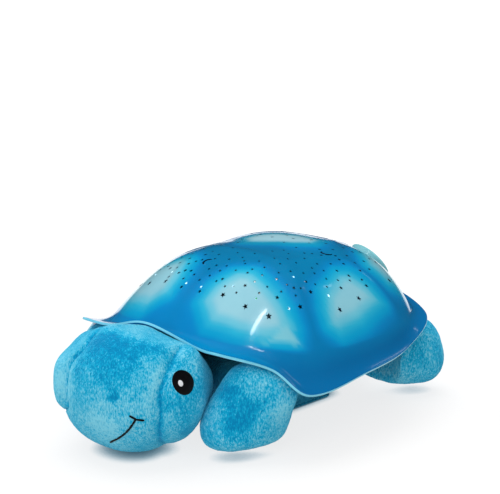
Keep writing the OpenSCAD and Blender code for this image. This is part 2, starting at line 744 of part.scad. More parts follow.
module cover_shell() {
  difference() {
    union() {
      translate([0, 0, collar_top]) crowned_disc(pod_r, cover_edge, pod_crown);
      translate([0, 0, collar_foot - 1.2]) cylinder(r = cover_skirt_r, h = collar_top - collar_foot + 1.2 + 0.1);
      // snap lugs under the collar
      for (a = [30, 150, 270]) rotate(a - lug_arc / 2) rotate_extrude(angle = lug_arc)
        translate([cover_skirt_r - 0.5, collar_foot - 1.2]) square([1.7, 1]);
    }
    translate([0, 0, collar_foot - 2]) cylinder(r = cover_skirt_r - cover_skirt_wall, h = cover_under - collar_foot + 2);
    translate(power_place) button_hole(power_r);
    for (p = colour_places) translate(p) button_hole(colour_r);
  }
}

module control_cover() {
  color("lightcyan", 0.9) in_pod() difference() {
    union() {
      cover_shell();
      for (p = post_places) translate([p.x, p.y, pod_board_top])
        cylinder(r = post_r, h = cover_under + cover_edge / 2 - pod_board_top);
    }
    for (p = post_places) translate([p.x, p.y, pod_board_top - cut])
      cylinder(r = post_pilot_r + 0.1, h = 6);
  }
}

// A cap with a domed top, a stop flange under the cover and a stem for its switch
module button_cap(place, r) {
  rim_z = crown_z(norm(place)) + cap_proud;
  dome_h = 0.7;
  cap_foot = cap_flange_top - cap_flange_t;
  stem_foot = pod_board_top + switch_h - stem_depth;
  in_pod() translate(place) {
    translate([0, 0, cap_foot]) crowned_disc(r, rim_z - cap_foot, dome_h);
    translate([0, 0, cap_foot]) cylinder(r = r + cap_flange, h = cap_flange_t);
    translate([0, 0, stem_foot]) cylinder(r = stem_r, h = cap_flange_top - stem_foot);
  }
}

module button_power() { color("whitesmoke") button_cap(power_place, power_r); }
module button_blue() { color("dodgerblue") button_cap(colour_places[2], colour_r); }
module button_green() { color("mediumseagreen") button_cap(colour_places[1], colour_r); }
module button_amber() { color("orange") button_cap(colour_places[0], colour_r); }

module button_board() {
  color("darkgreen") in_pod() difference() {
    translate([0, 0, pod_board_top - board_t]) cylinder(r = pod_board_r, h = board_t);
    for (p = post_places) translate([p.x, p.y, pod_board_top - board_t - cut])
      cylinder(r = post_pilot_r + 0.15, h = board_t + 2 * cut);
  }
}

module button_switches() {
  color("dimgray") in_pod() for (p = concat([power_place], colour_places))
    translate([p.x, p.y, pod_board_top]) difference() {
      translate([-switch_w / 2, -switch_w / 2, 0]) cube([switch_w, switch_w, switch_h]);
      translate([0, 0, switch_h - stem_depth - button_travel - 0.4]) cylinder(r = switch_bore, h = switch_h);
    }
}

module button_board_screws() {
  color("silver") in_pod() for (p = post_places)
    translate([p.x, p.y, pod_board_top - board_t]) screw(post_pilot_r, 1.4, 0.9, board_t + 4);
}

// The lead from the button board to the main board
lead_end = [18, board_mid_y + 17, board_top + lead_seat];
function pod_to_world(p) = pod_centre + pod_x * p.x + pod_y * p.y + pod_axis * p.z;
lead_start_z = pod_board_top - board_t - lead_seat;
lead_controls = [pod_to_world([0, 0, lead_start_z]), pod_to_world([0, 0, lead_start_z - 14]),
                 lead_end + [0, 0, 24], lead_end];

module button_lead() {
  color("dimgray") swept_tube([for (s = [0 : 0.05 : 1]) bezier(lead_controls, s)], 1.5, 8, [1, 0, 0]);
}

// ---- Pads between tray and plush -------------------------------------------------------------

pad_r = 9;
pad_places = [for (x = [-1, 1], y = [-22, 78]) [x * (body_half_w - 22), y]];
loop_t = (tray_z - body_top) / 2;

module pads(z, h) {
  for (p = pad_places) translate([p.x, p.y, z]) cylinder(r = pad_r, h = h);
}

module hook_pads() { color("navy") pads(tray_z - loop_t, loop_t); }
module loop_pads() { color("steelblue") pads(body_top, loop_t); }

// ---- Plush -------------------------------------------------------------------------------------

module body_block(grow, z0, z1) {
  translate([0, 0, z0]) rounded_block(-body_half_w - grow, body_half_w + grow,
    -body_front - grow, body_back + grow, body_corner, z1 - z0);
}

module plush_body() {
  color("deepskyblue") difference() {
    hull() {
      rounded_block(-sole_half_w, sole_half_w, -sole_front, sole_back, 24, 0.5, $fn = 32);
      translate([0, 0, 12]) rounded_block(-sole_half_w - 12, sole_half_w + 12,
        -sole_front - 15, sole_back + 14, 28, 0.5, $fn = 32);
      body_block(0, body_side_z, body_top, $fn = 32);
    }
    // well up to the battery door, and the step that takes the flap
    translate([0, 0, -cut]) rounded_block(-belly_w / 2, belly_w / 2, belly_y0, belly_y1, 4, body_top + 2 * cut);
    translate([0, 0, -cut]) rounded_block(-belly_w / 2 - ledge_side, belly_w / 2 + ledge_side,
      belly_y0 - ledge_side, belly_y1 + ledge_back, 4, flap_recess + cut);
  }
}

// The head: an oval ball, flat where it is sewn to the body, pressed down behind the
// shell's front arch and a little flattened ahead of it
neck_slopes = [40, 11];
neck_roll = 9.5;
neck_y = -shell_front;
neck_z = rim_half[0][2] - shell_wall - 1.1;

module plush_head() {
  color("deepskyblue") difference() {
    translate(head_mid) scale([head_rx, head_ry, head_rz]) sphere(r = 1, $fn = 64);
    translate([-head_rx - cut, -body_front, -cut]) cube([2 * (head_rx + cut), head_ry, 2 * head_rz + 2 * cut]);
    for (slope = neck_slopes, side = [-1, 1])
      translate([0, neck_y, neck_z]) rotate([-slope, side * neck_roll, 0])
        translate([-2 * head_rx, -2 * head_ry, 0]) cube([4 * head_rx, 4 * head_ry, 2 * head_rz]);
  }
}

module left_of_body() {
  difference() {
    children();
    body_block(soft_gap, -cut, shell_top);
  }
}

module front_flipper() {
  left_of_body() hull() {
    translate([61, -69, 20]) sphere(r = 19.5, $fn = 20);
    translate([70, -46, 20]) sphere(r = 17, $fn = 20);
    translate([68, -64, 47]) sphere(r = 15, $fn = 20);
    translate([78, -48, 40]) sphere(r = 17, $fn = 20);
  }
}

module rear_leg() {
  left_of_body() hull() {
    translate([60, 123, 24]) sphere(r = 22, $fn = 20);
    translate([54, 98, 28]) sphere(r = 21, $fn = 20);
  }
}

module left_front_flipper() { color("deepskyblue") front_flipper(); }
module right_front_flipper() { color("deepskyblue") mirror([1, 0, 0]) front_flipper(); }
module left_rear_leg() { color("deepskyblue") rear_leg(); }
module right_rear_leg() { color("deepskyblue") mirror([1, 0, 0]) rear_leg(); }

module tail() {
  tip_r = 9;
  color("deepskyblue") difference() {
    hull() {
      translate([0, tail_reach - tip_r, 22]) sphere(r = tip_r, $fn = 20);
      translate([0, body_back + 4, 26]) scale([1.35, 1, 1]) sphere(r = 17, $fn = 20);
    }
    body_block(soft_gap, -cut, shell_top);
  }
}

module belly_flap() {
  color("deepskyblue") translate([0, 0, flap_z0])
    rounded_block(-flap_w / 2, flap_w / 2, flap_y0, flap_y1, 3, flap_t);
}

module closing_strip(z) {
  translate([-belly_w / 2 + 2, flap_y1 - strip_w - 0.5, z]) cube([belly_w - 4, strip_w, strip_t]);
}

module flap_loop_strip() { color("steelblue") closing_strip(flap_z1); }
module flap_hook_strip() { color("navy") closing_strip(flap_z1 + strip_t); }

// An oval patch of satin stitch that follows the head's side
eye_y = -104.5;
eye_z = 57.5;
eye_half_w = 6.8;
eye_half_h = 8.6;
eye_lean = 14;
eye_t = 0.6;

module eye() {
  rings = 3;
  steps = 20;
  function on_head(y, z, lift) =
    let (v = (y - head_mid.y) / (head_ry + lift), w = (z - head_mid.z) / (head_rz + lift))
    [(head_rx + lift) * sqrt(1 - v * v - w * w), y, z];
  function patch(lift) = concat([on_head(eye_y, eye_z, lift)],
    [for (k = [1 : rings]) for (j = [0 : steps - 1])
      let (a = 360 * j / steps, u = eye_half_w * cos(a) * k / rings, v = eye_half_h * sin(a) * k / rings)
      on_head(eye_y + u * cos(eye_lean) - v * sin(eye_lean), eye_z + u * sin(eye_lean) + v * cos(eye_lean), lift)]);
  count = 1 + rings * steps;
  function turned(j) = (j + 1) % steps;
  function sheet(base, out) = concat(
    [for (j = [0 : steps - 1]) out ? [base, base + 1 + turned(j), base + 1 + j] : [base, base + 1 + j, base + 1 + turned(j)]],
    [for (k = [0 : rings - 2]) for (j = [0 : steps - 1])
      let (a = base + 1 + k * steps, b = a + steps)
      each (out ? [[a + j, a + turned(j), b + j], [a + turned(j), b + turned(j), b + j]]
                : [[a + j, b + j, a + turned(j)], [a + turned(j), b + j, b + turned(j)]])]);
  edge = 1 + (rings - 1) * steps;
  polyhedron(
    points = concat(patch(soft_gap + eye_t), patch(soft_gap)),
    faces = concat(sheet(0, true), sheet(count, false),
      [for (j = [0 : steps - 1])
        each [[edge + j, edge + turned(j), count + edge + j],
              [edge + turned(j), count + edge + turned(j), count + edge + j]]]));
}

module left_eye() { color("black") eye(); }
module right_eye() { color("black") mirror([1, 0, 0]) eye(); }

shell();
module_tray();
shell_screws();
battery_door();
door_screw();
battery_1();
battery_2();
battery_3();
battery_springs();
battery_plates();
battery_leads();
main_board();
board_screws();
timer_chip();
capacitor();
led_holder();
led_blue();
led_green();
led_amber();
control_cover();
button_power();
button_blue();
button_green();
button_amber();
button_board();
button_switches();
button_board_screws();
button_lead();
hook_pads();
loop_pads();
plush_body();
plush_head();
left_front_flipper();
right_front_flipper();
left_rear_leg();
right_rear_leg();
tail();
belly_flap();
flap_loop_strip();
flap_hook_strip();
left_eye();
right_eye();
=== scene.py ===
import math

import bpy
from mathutils import Matrix, Vector, noise
from mathutils.bvhtree import BVHTree
from mathutils.kdtree import KDTree


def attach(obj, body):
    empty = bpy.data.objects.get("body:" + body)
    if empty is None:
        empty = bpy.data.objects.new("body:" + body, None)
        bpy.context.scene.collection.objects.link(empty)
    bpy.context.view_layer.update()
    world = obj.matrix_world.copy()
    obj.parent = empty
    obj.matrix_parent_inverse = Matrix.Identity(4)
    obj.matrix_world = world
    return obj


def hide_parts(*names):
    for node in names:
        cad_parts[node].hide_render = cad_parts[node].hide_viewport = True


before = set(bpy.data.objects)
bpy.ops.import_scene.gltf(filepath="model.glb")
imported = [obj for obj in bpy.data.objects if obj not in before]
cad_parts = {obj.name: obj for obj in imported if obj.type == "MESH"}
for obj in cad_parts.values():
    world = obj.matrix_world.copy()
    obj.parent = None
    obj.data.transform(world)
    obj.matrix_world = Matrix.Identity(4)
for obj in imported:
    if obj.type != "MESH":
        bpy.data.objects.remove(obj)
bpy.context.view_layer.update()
mm = 0.001
tiny = 1e-6
bpy.context.scene.view_settings.view_transform = "Standard"
print("frame loaded,", len(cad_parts), "nodes")


def mix(a, b, s):
    return a + (b - a) * s


def smooth(s):
    s = min(1.0, max(0.0, s))
    return s * s * (3 - 2 * s)


def ease(value, start, width):
    return smooth((value - start) / width)


def fade(value, start, width):
    # from 0 at start to 1 a width later, both in mm; with a negative width it falls
    return smooth((value - start * mm) / (width * mm))


def swell(rule, *values):
    # a size in mm, and the start and width of its fade over each value
    size, fades = rule[0] * mm, rule[1:]
    for value, (start, width) in zip(values, fades):
        size *= fade(value, start, width)
    return size


def bell(distance, width):
    return math.exp(-(distance / width) ** 2)


def curveBetween(a, b, leaving, arriving, s):
    # a cubic between two points with given tangents
    return (a * (2 * s**3 - 3 * s * s + 1) + leaving * (s**3 - 2 * s * s + s)
            + b * (3 * s * s - 2 * s**3) + arriving * (s**3 - s * s))


def colour(red, green, blue, alpha=1.0):
    # a screen colour, 0 to 255, as the renderer's linear one
    def linear(c):
        c = c / 255
        return c / 12.92 if c <= 0.04045 else ((c + 0.055) / 1.055) ** 2.4
    return (linear(red), linear(green), linear(blue), alpha)


def shaded(tint, gain, lift=0):
    return tuple(min(1, c * gain + lift) for c in tint[:3]) + (1,)


def deselect():
    if bpy.context.object and bpy.context.object.mode != "OBJECT":
        bpy.ops.object.mode_set(mode="OBJECT")
    bpy.ops.object.select_all(action="DESELECT")


def activate(piece):
    deselect()
    piece.select_set(True)
    bpy.context.view_layer.objects.active = piece


def added(operator, **settings):
    deselect()
    operator(**settings)
    return bpy.context.object


def addCylinder(vertices, radius, depth, location=(0, 0, 0)):
    return added(bpy.ops.mesh.primitive_cylinder_add, vertices=vertices, radius=radius, depth=depth,
                 location=location)


def addBall(segments, rings):
    return added(bpy.ops.mesh.primitive_uv_sphere_add, segments=segments, ring_count=rings, radius=1)


def applyModifier(piece, kind, **settings):
    activate(piece)
    modifier = piece.modifiers.new(kind.lower(), kind)
    for key, value in settings.items():
        setattr(modifier, key, value)
    bpy.ops.object.modifier_apply(modifier=modifier.name)


def editMesh(piece, *steps):
    # mesh operators and their settings, on the whole piece
    activate(piece)
    bpy.ops.object.mode_set(mode="EDIT")
    bpy.ops.mesh.select_all(action="SELECT")
    for operator, settings in steps:
        operator(**settings)
    bpy.ops.object.mode_set(mode="OBJECT")


def flipFaces(piece):
    editMesh(piece, (bpy.ops.mesh.flip_normals, {}))


def faceOut(piece, merge=0.00001):
    editMesh(piece, (bpy.ops.mesh.remove_doubles, {"threshold": merge}),
             (bpy.ops.mesh.normals_make_consistent, {"inside": False}))


def freeze(piece):
    activate(piece)
    bpy.ops.object.transform_apply(location=True, rotation=True, scale=True)


def namePiece(piece, name):
    piece.name = name
    piece.data.name = name


def moveVertices(piece, place):
    for vertex in piece.data.vertices:
        vertex.co = place(vertex.co)
    piece.data.update()


def shade(piece, angle=None):
    activate(piece)
    if angle is None:
        bpy.ops.object.shade_smooth()
    else:
        bpy.ops.object.shade_smooth_by_angle(angle=math.radians(angle))


def joinPieces(pieces, name):
    deselect()
    for piece in pieces:
        piece.select_set(True)
    bpy.context.view_layer.objects.active = pieces[0]
    if len(pieces) > 1:
        bpy.ops.object.join()
    joined = bpy.context.object
    namePiece(joined, name)
    return joined


def dress(piece, *materials):
    piece.data.materials.clear()
    for material in materials:
        piece.data.materials.append(material)


def copyPiece(piece, name, merged=False):
    deselect()
    made = piece.copy()
    made.data = piece.data.copy()
    made.parent = None
    for key in list(made.keys()):
        if key.startswith("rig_"):
            del made[key]
    bpy.context.scene.collection.objects.link(made)
    made.hide_render = False
    made.hide_viewport = False
    namePiece(made, name)
    if merged:
        faceOut(made)
    return made


def cutWith(piece, cutter, operation="DIFFERENCE"):
    applyModifier(piece, "BOOLEAN", operation=operation, object=cutter, solver="EXACT",
                  material_mode="TRANSFER")
    bpy.data.objects.remove(cutter)


def surfaceOf(piece):
    return BVHTree.FromObject(piece, bpy.context.evaluated_depsgraph_get())


def handIn(piece, body, slot, *replaced):
    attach(piece, body)
    if replaced:
        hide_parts(*replaced)
    return piece


def newMaterial(name, constants=None):
    material = bpy.data.materials.new(name)
    material.use_nodes = True
    for key, value in (constants or {}).items():
        feed(material.node_tree, key, value)
    return material, material.node_tree


def addNode(tree, kind, inputs=None, **settings):
    node = tree.nodes.new(kind)
    for key, value in settings.items():
        setattr(node, key, value)
    for key, value in (inputs or {}).items():
        feed(tree, node.inputs[key], value)
    return node


def feed(tree, socket, value):
    # a link or a constant into a socket, or into the shader's socket of that name
    if isinstance(socket, str):
        socket = tree.nodes["Principled BSDF"].inputs[socket]
    if isinstance(value, bpy.types.NodeSocket):
        tree.links.new(value, socket)
    else:
        socket.default_value = value


def objectPlace(tree, scale=(1, 1, 1), rotation=(0, 0, 0)):
    coordinates = addNode(tree, "ShaderNodeTexCoord")
    mapping = addNode(tree, "ShaderNodeMapping", {"Vector": coordinates.outputs["Object"], "Scale": scale,
                                                  "Rotation": rotation})
    return mapping.outputs["Vector"]


def noiseTexture(tree, vector, scale, detail=3.0, roughness=0.55, distortion=0.0):
    made = addNode(tree, "ShaderNodeTexNoise", {"Vector": vector, "Scale": scale, "Detail": detail,
                                                "Roughness": roughness, "Distortion": distortion})
    return made.outputs["Fac"]


def ramp(tree, value, stops, interpolation="EASE"):
    made = addNode(tree, "ShaderNodeValToRGB", {"Fac": value})
    made.color_ramp.interpolation = interpolation
    elements = made.color_ramp.elements
    while len(elements) < len(stops):
        elements.new(0.5)
    for element, (place, tint) in zip(elements, stops):
        element.position = place
        element.color = tint
    return made.outputs["Color"]


def mixColour(tree, factor, first, second, blend="MIX"):
    made = addNode(tree, "ShaderNodeMix", data_type="RGBA", blend_type=blend)
    for index, value in ((0, factor), (6, first), (7, second)):
        feed(tree, made.inputs[index], value)
    return made.outputs[2]


def sums(tree, operation, *values):
    made = addNode(tree, "ShaderNodeMath", operation=operation)
    for index, value in enumerate(values):
        feed(tree, made.inputs[index], value)
    return made.outputs[0]


def bump(tree, height, distance, strength=1.0, below=None):
    inputs = {"Height": height, "Distance": distance, "Strength": strength}
    if below is not None:
        inputs["Normal"] = below
    normal = addNode(tree, "ShaderNodeBump", inputs).outputs["Normal"]
    feed(tree, "Normal", normal)
    return normal


def finishMaterial(tree, base, gloss, grain, distance, strength=1.0):
    # base colour, roughness as a texture times a gain plus the least, and bump
    feed(tree, "Base Color", base)
    feed(tree, "Roughness", sums(tree, "MULTIPLY_ADD", *gloss))
    bump(tree, grain, distance, strength)


def plasticMaterial(name, tint, roughness=0.35, grain=1400, grainDepth=0.00002, mottle=0.06):
    # moulded plastic: a little unevenness in colour and gloss, and a fine grain
    material, tree = newMaterial(name)
    place = objectPlace(tree)
    cloud = noiseTexture(tree, place, 60, 2)
    base = ramp(tree, cloud, [(0.3, shaded(tint, 1 - mottle)), (0.7, shaded(tint, 1 + mottle))])
    finishMaterial(tree, base, (noiseTexture(tree, place, 220, 3), 0.18 * roughness, 0.91 * roughness),
                   noiseTexture(tree, place, grain, 2), grainDepth)
    return material


def metalMaterial(name, tint, roughness=0.28, brushed=(4000, 400, 400)):
    material, tree = newMaterial(name, {"Metallic": 1.0})
    streaks = noiseTexture(tree, objectPlace(tree, scale=brushed), 1, 2)
    finishMaterial(tree, ramp(tree, streaks, [(0.25, shaded(tint, 0.8)), (0.75, tint)]),
                   (streaks, roughness * 0.6, roughness * 0.7), streaks, 0.00001)
    return material


view = {"azimuth": 42.715, "elevation": 16.12, "distance": 1.1104, "aim": (0, 0, 0.06),
        "lens": 115.4, "sensor": 36, "shift": (0.0232, 0.1641), "clip": (0.05, 20)}


def makeCamera():
    turn, tilt = math.radians(view["azimuth"]), math.radians(view["elevation"])
    back = Vector((math.sin(turn) * math.cos(tilt), -math.cos(turn) * math.cos(tilt), math.sin(tilt)))
    camera = added(bpy.ops.object.camera_add, location=Vector(view["aim"]) + back * view["distance"])
    camera.rotation_mode = "QUATERNION"
    camera.rotation_quaternion = (-back).to_track_quat("-Z", "Y")
    camera.data.lens = view["lens"]
    camera.data.sensor_width = view["sensor"]
    camera.data.shift_x, camera.data.shift_y = view["shift"]
    camera.data.clip_start, camera.data.clip_end = view["clip"]
    bpy.context.scene.camera = camera


# soft lamps that the gloss doesn't show
softboxes = [
    {"name": "skySoftbox", "place": (-0.45, 0.2, 1.5), "aim": (0, 0, 0.05), "size": (1.6, 1.6), "power": 21},
    {"name": "frontFill", "place": (0.75, -1.45, 0.8), "aim": (0, 0, 0.05), "size": (1.6, 1.0), "power": 12},
]
# narrow lamps that only the gloss shows: two ends, width and brightness
strips = [
    {"name": "streakStrip", "ends": ((0.294, -0.05, 1.268), (0.293, -0.42, 1.2)), "width": 0.045, "glow": 16},
    {"name": "backStrip", "ends": ((0.16, 0.93, 0.92), (0.23, 1.08, 0.707)), "width": 0.03, "glow": 2.4},
]
stripAim = Vector((0.03, -0.01, 0.09))


def addLamp(name, place, turn, size, power):
    light = added(bpy.ops.object.light_add, type="AREA", location=place)
    light.name = name
    light.rotation_mode = "QUATERNION"
    light.rotation_quaternion = turn
    light.data.shape = "RECTANGLE"
    light.data.size, light.data.size_y = size
    light.data.energy = power
    return light


def makeLamps():
    for lamp in softboxes:
        turn = (Vector(lamp["aim"]) - Vector(lamp["place"])).to_track_quat("-Z", "Y")
        addLamp(lamp["name"], lamp["place"], turn, lamp["size"], lamp["power"]).visible_glossy = False
    for strip in strips:
        a, b = Vector(strip["ends"][0]), Vector(strip["ends"][1])
        middle, run = (a + b) / 2, b - a
        down = (stripAim - middle).normalized()
        along = run.normalized()
        across = down.cross(along).normalized()
        down = along.cross(across)
        turn = Matrix((along, -across, -down)).transposed().to_quaternion()
        power = strip["glow"] * math.pi * run.length * strip["width"]
        addLamp(strip["name"], middle, turn, (run.length, strip["width"]), power).visible_diffuse = False


surround = {"diffuse": 0.66, "gloss": 0.02, "floor": 0.2, "floorGlow": 0.78, "bounce": 0.55,
            "shadowReach": 0.01, "floorSize": 12, "floorDrop": 0.2 * mm, "glowNear": 0.3, "glowFar": 0.9}
# the floor's light by how open it lies to the sky
floorShades = [(0.0, colour(8, 60, 80)), (0.25, colour(110, 146, 162)), (0.5, colour(218, 228, 233)),
               (0.7, colour(255, 255, 255))]


def makeWorld():
    # white to the camera, pale to matt surfaces and dark to gloss, which then shows only the lamps and floor
    world = bpy.data.worlds.new("paleStudio")
    bpy.context.scene.world = world
    world.use_nodes = True
    tree = world.node_tree
    background = tree.nodes["Background"]
    path = addNode(tree, "ShaderNodeLightPath")
    straight = sums(tree, "MAXIMUM", path.outputs["Is Camera Ray"], path.outputs["Is Transmission Ray"])
    strength = sums(tree, "MULTIPLY_ADD", path.outputs["Is Glossy Ray"],
                    surround["gloss"] - surround["diffuse"], surround["diffuse"])
    background.inputs["Color"].default_value = (1, 1, 1, 1)
    feed(tree, background.inputs["Strength"], sums(tree, "MAXIMUM", strength, straight))


def makeFloor():
    # the floor glows for the camera and for gloss, less where the object stands close over it
    floor = added(bpy.ops.mesh.primitive_plane_add, size=surround["floorSize"],
                  location=(0, 0, -surround["floorDrop"]))
    floor.name = "studioFloor"
    shade = surround["floor"]
    material, tree = newMaterial("paleFloor", {"Base Color": (shade, shade, shade, 1), "Roughness": 0.9,
                                               "Specular IOR Level": 0.0})
    path = addNode(tree, "ShaderNodeLightPath")
    seen = sums(tree, "MAXIMUM", path.outputs["Is Camera Ray"], path.outputs["Is Glossy Ray"])
    openness = addNode(tree, "ShaderNodeAmbientOcclusion", {"Distance": surround["shadowReach"]},
                       samples=8).outputs["AO"]
    feed(tree, "Emission Color", ramp(tree, openness, floorShades, "LINEAR"))
    away = addNode(tree, "ShaderNodeVectorMath", {0: addNode(tree, "ShaderNodeTexCoord").outputs["Object"]},
                   operation="LENGTH").outputs["Value"]
    glow = addNode(tree, "ShaderNodeMapRange",
                   {"Value": away, "From Min": surround["glowNear"], "From Max": surround["glowFar"],
                    "To Min": surround["floorGlow"], "To Max": 1.0},
                   interpolation_type="SMOOTHSTEP").outputs["Result"]
    shown = sums(tree, "MULTIPLY_ADD", seen, 1 - surround["bounce"], surround["bounce"])
    feed(tree, "Emission Strength", sums(tree, "MULTIPLY", glow, shown))
    dress(floor, material)


makeCamera()
makeLamps()
makeWorld()
makeFloor()
print("camera, lamps and floor made")


shell = {
    "halfWidth": 107.5 * mm, "front": 88 * mm, "back": 133 * mm, "top": 117 * mm, "topY": 23.5 * mm,
    "wall": 1.8 * mm, "skirtFront": 18 * mm, "skirtSide": 14 * mm, "skirtBack": 12.5 * mm,
    "skirtFlare": 22, "skirtPull": 0.38, "middleY": 21.8 * mm,
    "waistHeights": (66.4 * mm, 76.4 * mm, 74.5 * mm),          # side, front, back
    "squareness": (2.4, 2.8),                                   # front, back
    "shoulders": (54, 48.5, 72),                                # side, front, back
    "crownPull": 0.5, "shoulderPull": 0.42,
    "domeRows": 56, "skirtRows": 18, "columnsPerStep": 4,
    "panelEdge": 14 * mm, "relief": 0.8 * mm, "crownRelief": 0.45, "reliefFrom": (0.25, 0.35),
    "edgeRound": 0.4 * mm, "edgeAngle": 40, "smoothAngle": 35,
}
# the right half of the rim: share of the half width, share of the reach, height in mm
rimHalf = [
    (0.00, -1.00, 83.7), (0.39, -0.94, 73.4), (0.59, -0.98, 74.6), (0.78, -0.67, 62.6), (0.97, -0.52, 46.7),
    (1.00, 0.065, 50.1), (0.94, 0.457, 54.0), (0.755, 0.80, 66.6), (0.00, 1.00, 74.2),
]
rimHalfSteps = [4, 2, 3, 3, 4, 4, 4, 6]
# the middle of each panel: heading, place on the dome
panelSeats = [(90, 0.15), (-54, 0.74), (3, 0.76), (52, 0.74), (234, 0.74), (177, 0.76), (128, 0.74),
              (-90, 0.60), (90, 0.86)]
apex = Vector((0, shell["topY"], shell["top"]))


def alongHeading(a):
    return Vector((math.cos(math.radians(a)), math.sin(math.radians(a)), 0))


def closedRim():
    right = [Vector((x * shell["halfWidth"], y * (shell["front"] if y < 0 else shell["back"]), z * mm))
             for x, y, z in rimHalf]
    keys = right + [Vector((-p.x, p.y, p.z)) for p in right[-2:0:-1]]
    steps = rimHalfSteps + rimHalfSteps[::-1]
    count = len(keys)
    knots = [math.sqrt((keys[(i + 1) % count] - keys[i]).length * 1000) for i in range(count)]
    tangents = [(keys[(i + 1) % count] - keys[i - 1]) / (knots[i] + knots[i - 1]) for i in range(count)]
    points = []
    for i in range(count):
        n = (i + 1) % count
        fine = steps[i] * shell["columnsPerStep"]
        points += [curveBetween(keys[i], keys[n], tangents[i] * knots[i], tangents[n] * knots[i], k / fine)
                   for k in range(fine)]
    return points


def byHeading(a, values):
    side, front, back = values
    s = math.sin(math.radians(a))
    return mix(side, front if s < 0 else back, s * s)


def ovalReach(a, halfWidth, front, back, squareness):
    c, s = math.cos(math.radians(a)), math.sin(math.radians(a))
    halfLength = front + shell["middleY"] if s < 0 else back - shell["middleY"]
    return ((abs(c) / halfWidth)**squareness + (abs(s) / halfLength)**squareness)**(-1 / squareness)


def waistPoint(a):
    reach = ovalReach(a, shell["halfWidth"] - shell["skirtSide"], shell["front"] - shell["skirtFront"],
                      shell["back"] - shell["skirtBack"],
                      shell["squareness"][0 if math.sin(math.radians(a)) < 0 else 1])
    return alongHeading(a) * reach + Vector((0, shell["middleY"], byHeading(a, shell["waistHeights"])))


def bezier(p, s):
    return p[0] * (1 - s)**3 + p[1] * 3 * s * (1 - s)**2 + p[2] * 3 * s * s * (1 - s) + p[3] * s**3


def smoothDome(a, t):
    waist = waistPoint(a)
    run = waist - apex
    flat = Vector((run.x, run.y, 0))
    slope = math.radians(byHeading(a, shell["shoulders"]))
    shoulder = waist + (flat.normalized() * -math.cos(slope) + Vector((0, 0, math.sin(slope)))) \
        * run.length * shell["shoulderPull"]
    shoulder.z = min(shoulder.z, shell["top"])
    return bezier([apex, apex + flat * shell["crownPull"], shoulder, waist], t)


panelCentres = [smoothDome(a, t) for a, t in panelSeats]
reliefCore = Vector((0, 0.022, 0.04))


def domePoint(a, t):
    p = smoothDome(a, t)
    nearest, following = sorted((p - c).length for c in panelCentres)[:2]
    depth = shell["relief"] * smooth((following - nearest) / shell["panelEdge"]) * (1 - t**6)
    depth *= mix(shell["crownRelief"], 1, ease(t, *shell["reliefFrom"]))
    return p - (p - reliefCore).normalized() * depth


def rimHeading(p):
    return math.degrees(math.atan2(p.y - shell["middleY"], p.x))


def skirtPoint(rimPoint, s):
    a = rimHeading(rimPoint)
    waist = waistPoint(a)
    run = rimPoint - waist
    flat = math.hypot(run.x, run.y)
    out = Vector((run.x, run.y, 0)) / flat
    start = math.radians(byHeading(a, shell["shoulders"]))
    end = math.atan2(run.z, flat) + math.radians(shell["skirtFlare"])
    pull = run.length * shell["skirtPull"]
    return bezier([waist, waist + (out * math.cos(start) - Vector((0, 0, math.sin(start)))) * pull,
                   rimPoint - (out * math.cos(end) + Vector((0, 0, math.sin(end)))) * pull, rimPoint], s)


def buildShellSkin():
    # a flat grid, wrapped round the dome: one row per height, one column per heading
    rim = closedRim()
    columns = len(rim)
    rows = shell["domeRows"] + shell["skirtRows"]
    skin = added(bpy.ops.mesh.primitive_grid_add, x_subdivisions=columns, y_subdivisions=rows, size=2)
    seats = {}
    for vertex in skin.data.vertices:
        column = round((vertex.co.x + 1) / 2 * columns) % columns
        row = round((vertex.co.y + 1) / 2 * rows)
        if (column, row) not in seats:
            heading = rimHeading(rim[column])
            if row <= shell["domeRows"]:
                t = row / shell["domeRows"]
                seats[column, row] = (domePoint(heading, t), heading, t)
            else:
                s = (row - shell["domeRows"]) / shell["skirtRows"]
                seats[column, row] = (skirtPoint(rim[column], s), heading, 1 + s)
        vertex.co = seats[column, row][0]
    faceOut(skin)
    if skin.data.polygons[0].normal.z < 0:
        flipFaces(skin)
    return skin, list(seats.values())


starLook = {"turn": 137.508, "spin": 47, "first": 0.12, "last": 0.56, "count": 50, "small": 1.0 * mm,
            "large": 2.2 * mm, "growth": 0.35, "gap": 5 * mm, "depth": 9.6 * mm, "waist": 0.45,
            "spread": 1.15, "margin": 1.2 * mm, "litSpread": 1.1, "litMargin": 0.6 * mm,
            "fineCount": 190, "fineFirst": 0.08, "fineLast": 0.68, "fineSize": 1.3 * mm, "fineGap": 4.1 * mm,
            "fineTurn": 60, "fineChange": 0.2, "fineBeat": 2.4,
            "moonSize": 3 * mm, "moonBite": 0.85, "moonShift": 0.45}
# large stars over the side panels, mirrored: heading, place on the dome, share of the largest
sideStars = [(-44, 0.82, 1), (-55, 0.77, 0.9), (-68, 0.71, 0.85), (-83, 0.72, 0.65), (-73, 0.57, 0.65),
             (-57, 0.60, 0.65), (-39, 0.68, 0.7), (-28, 0.75, 0.85), (-28, 0.60, 0.6), (-18, 0.64, 0.8),
             (-5, 0.80, 0.9), (12, 0.77, 0.85), (6, 0.66, 0.7), (23, 0.72, 0.7), (19, 0.60, 0.65),
             (42, 0.80, 0.9), (50, 0.68, 0.7), (60, 0.80, 0.85)]
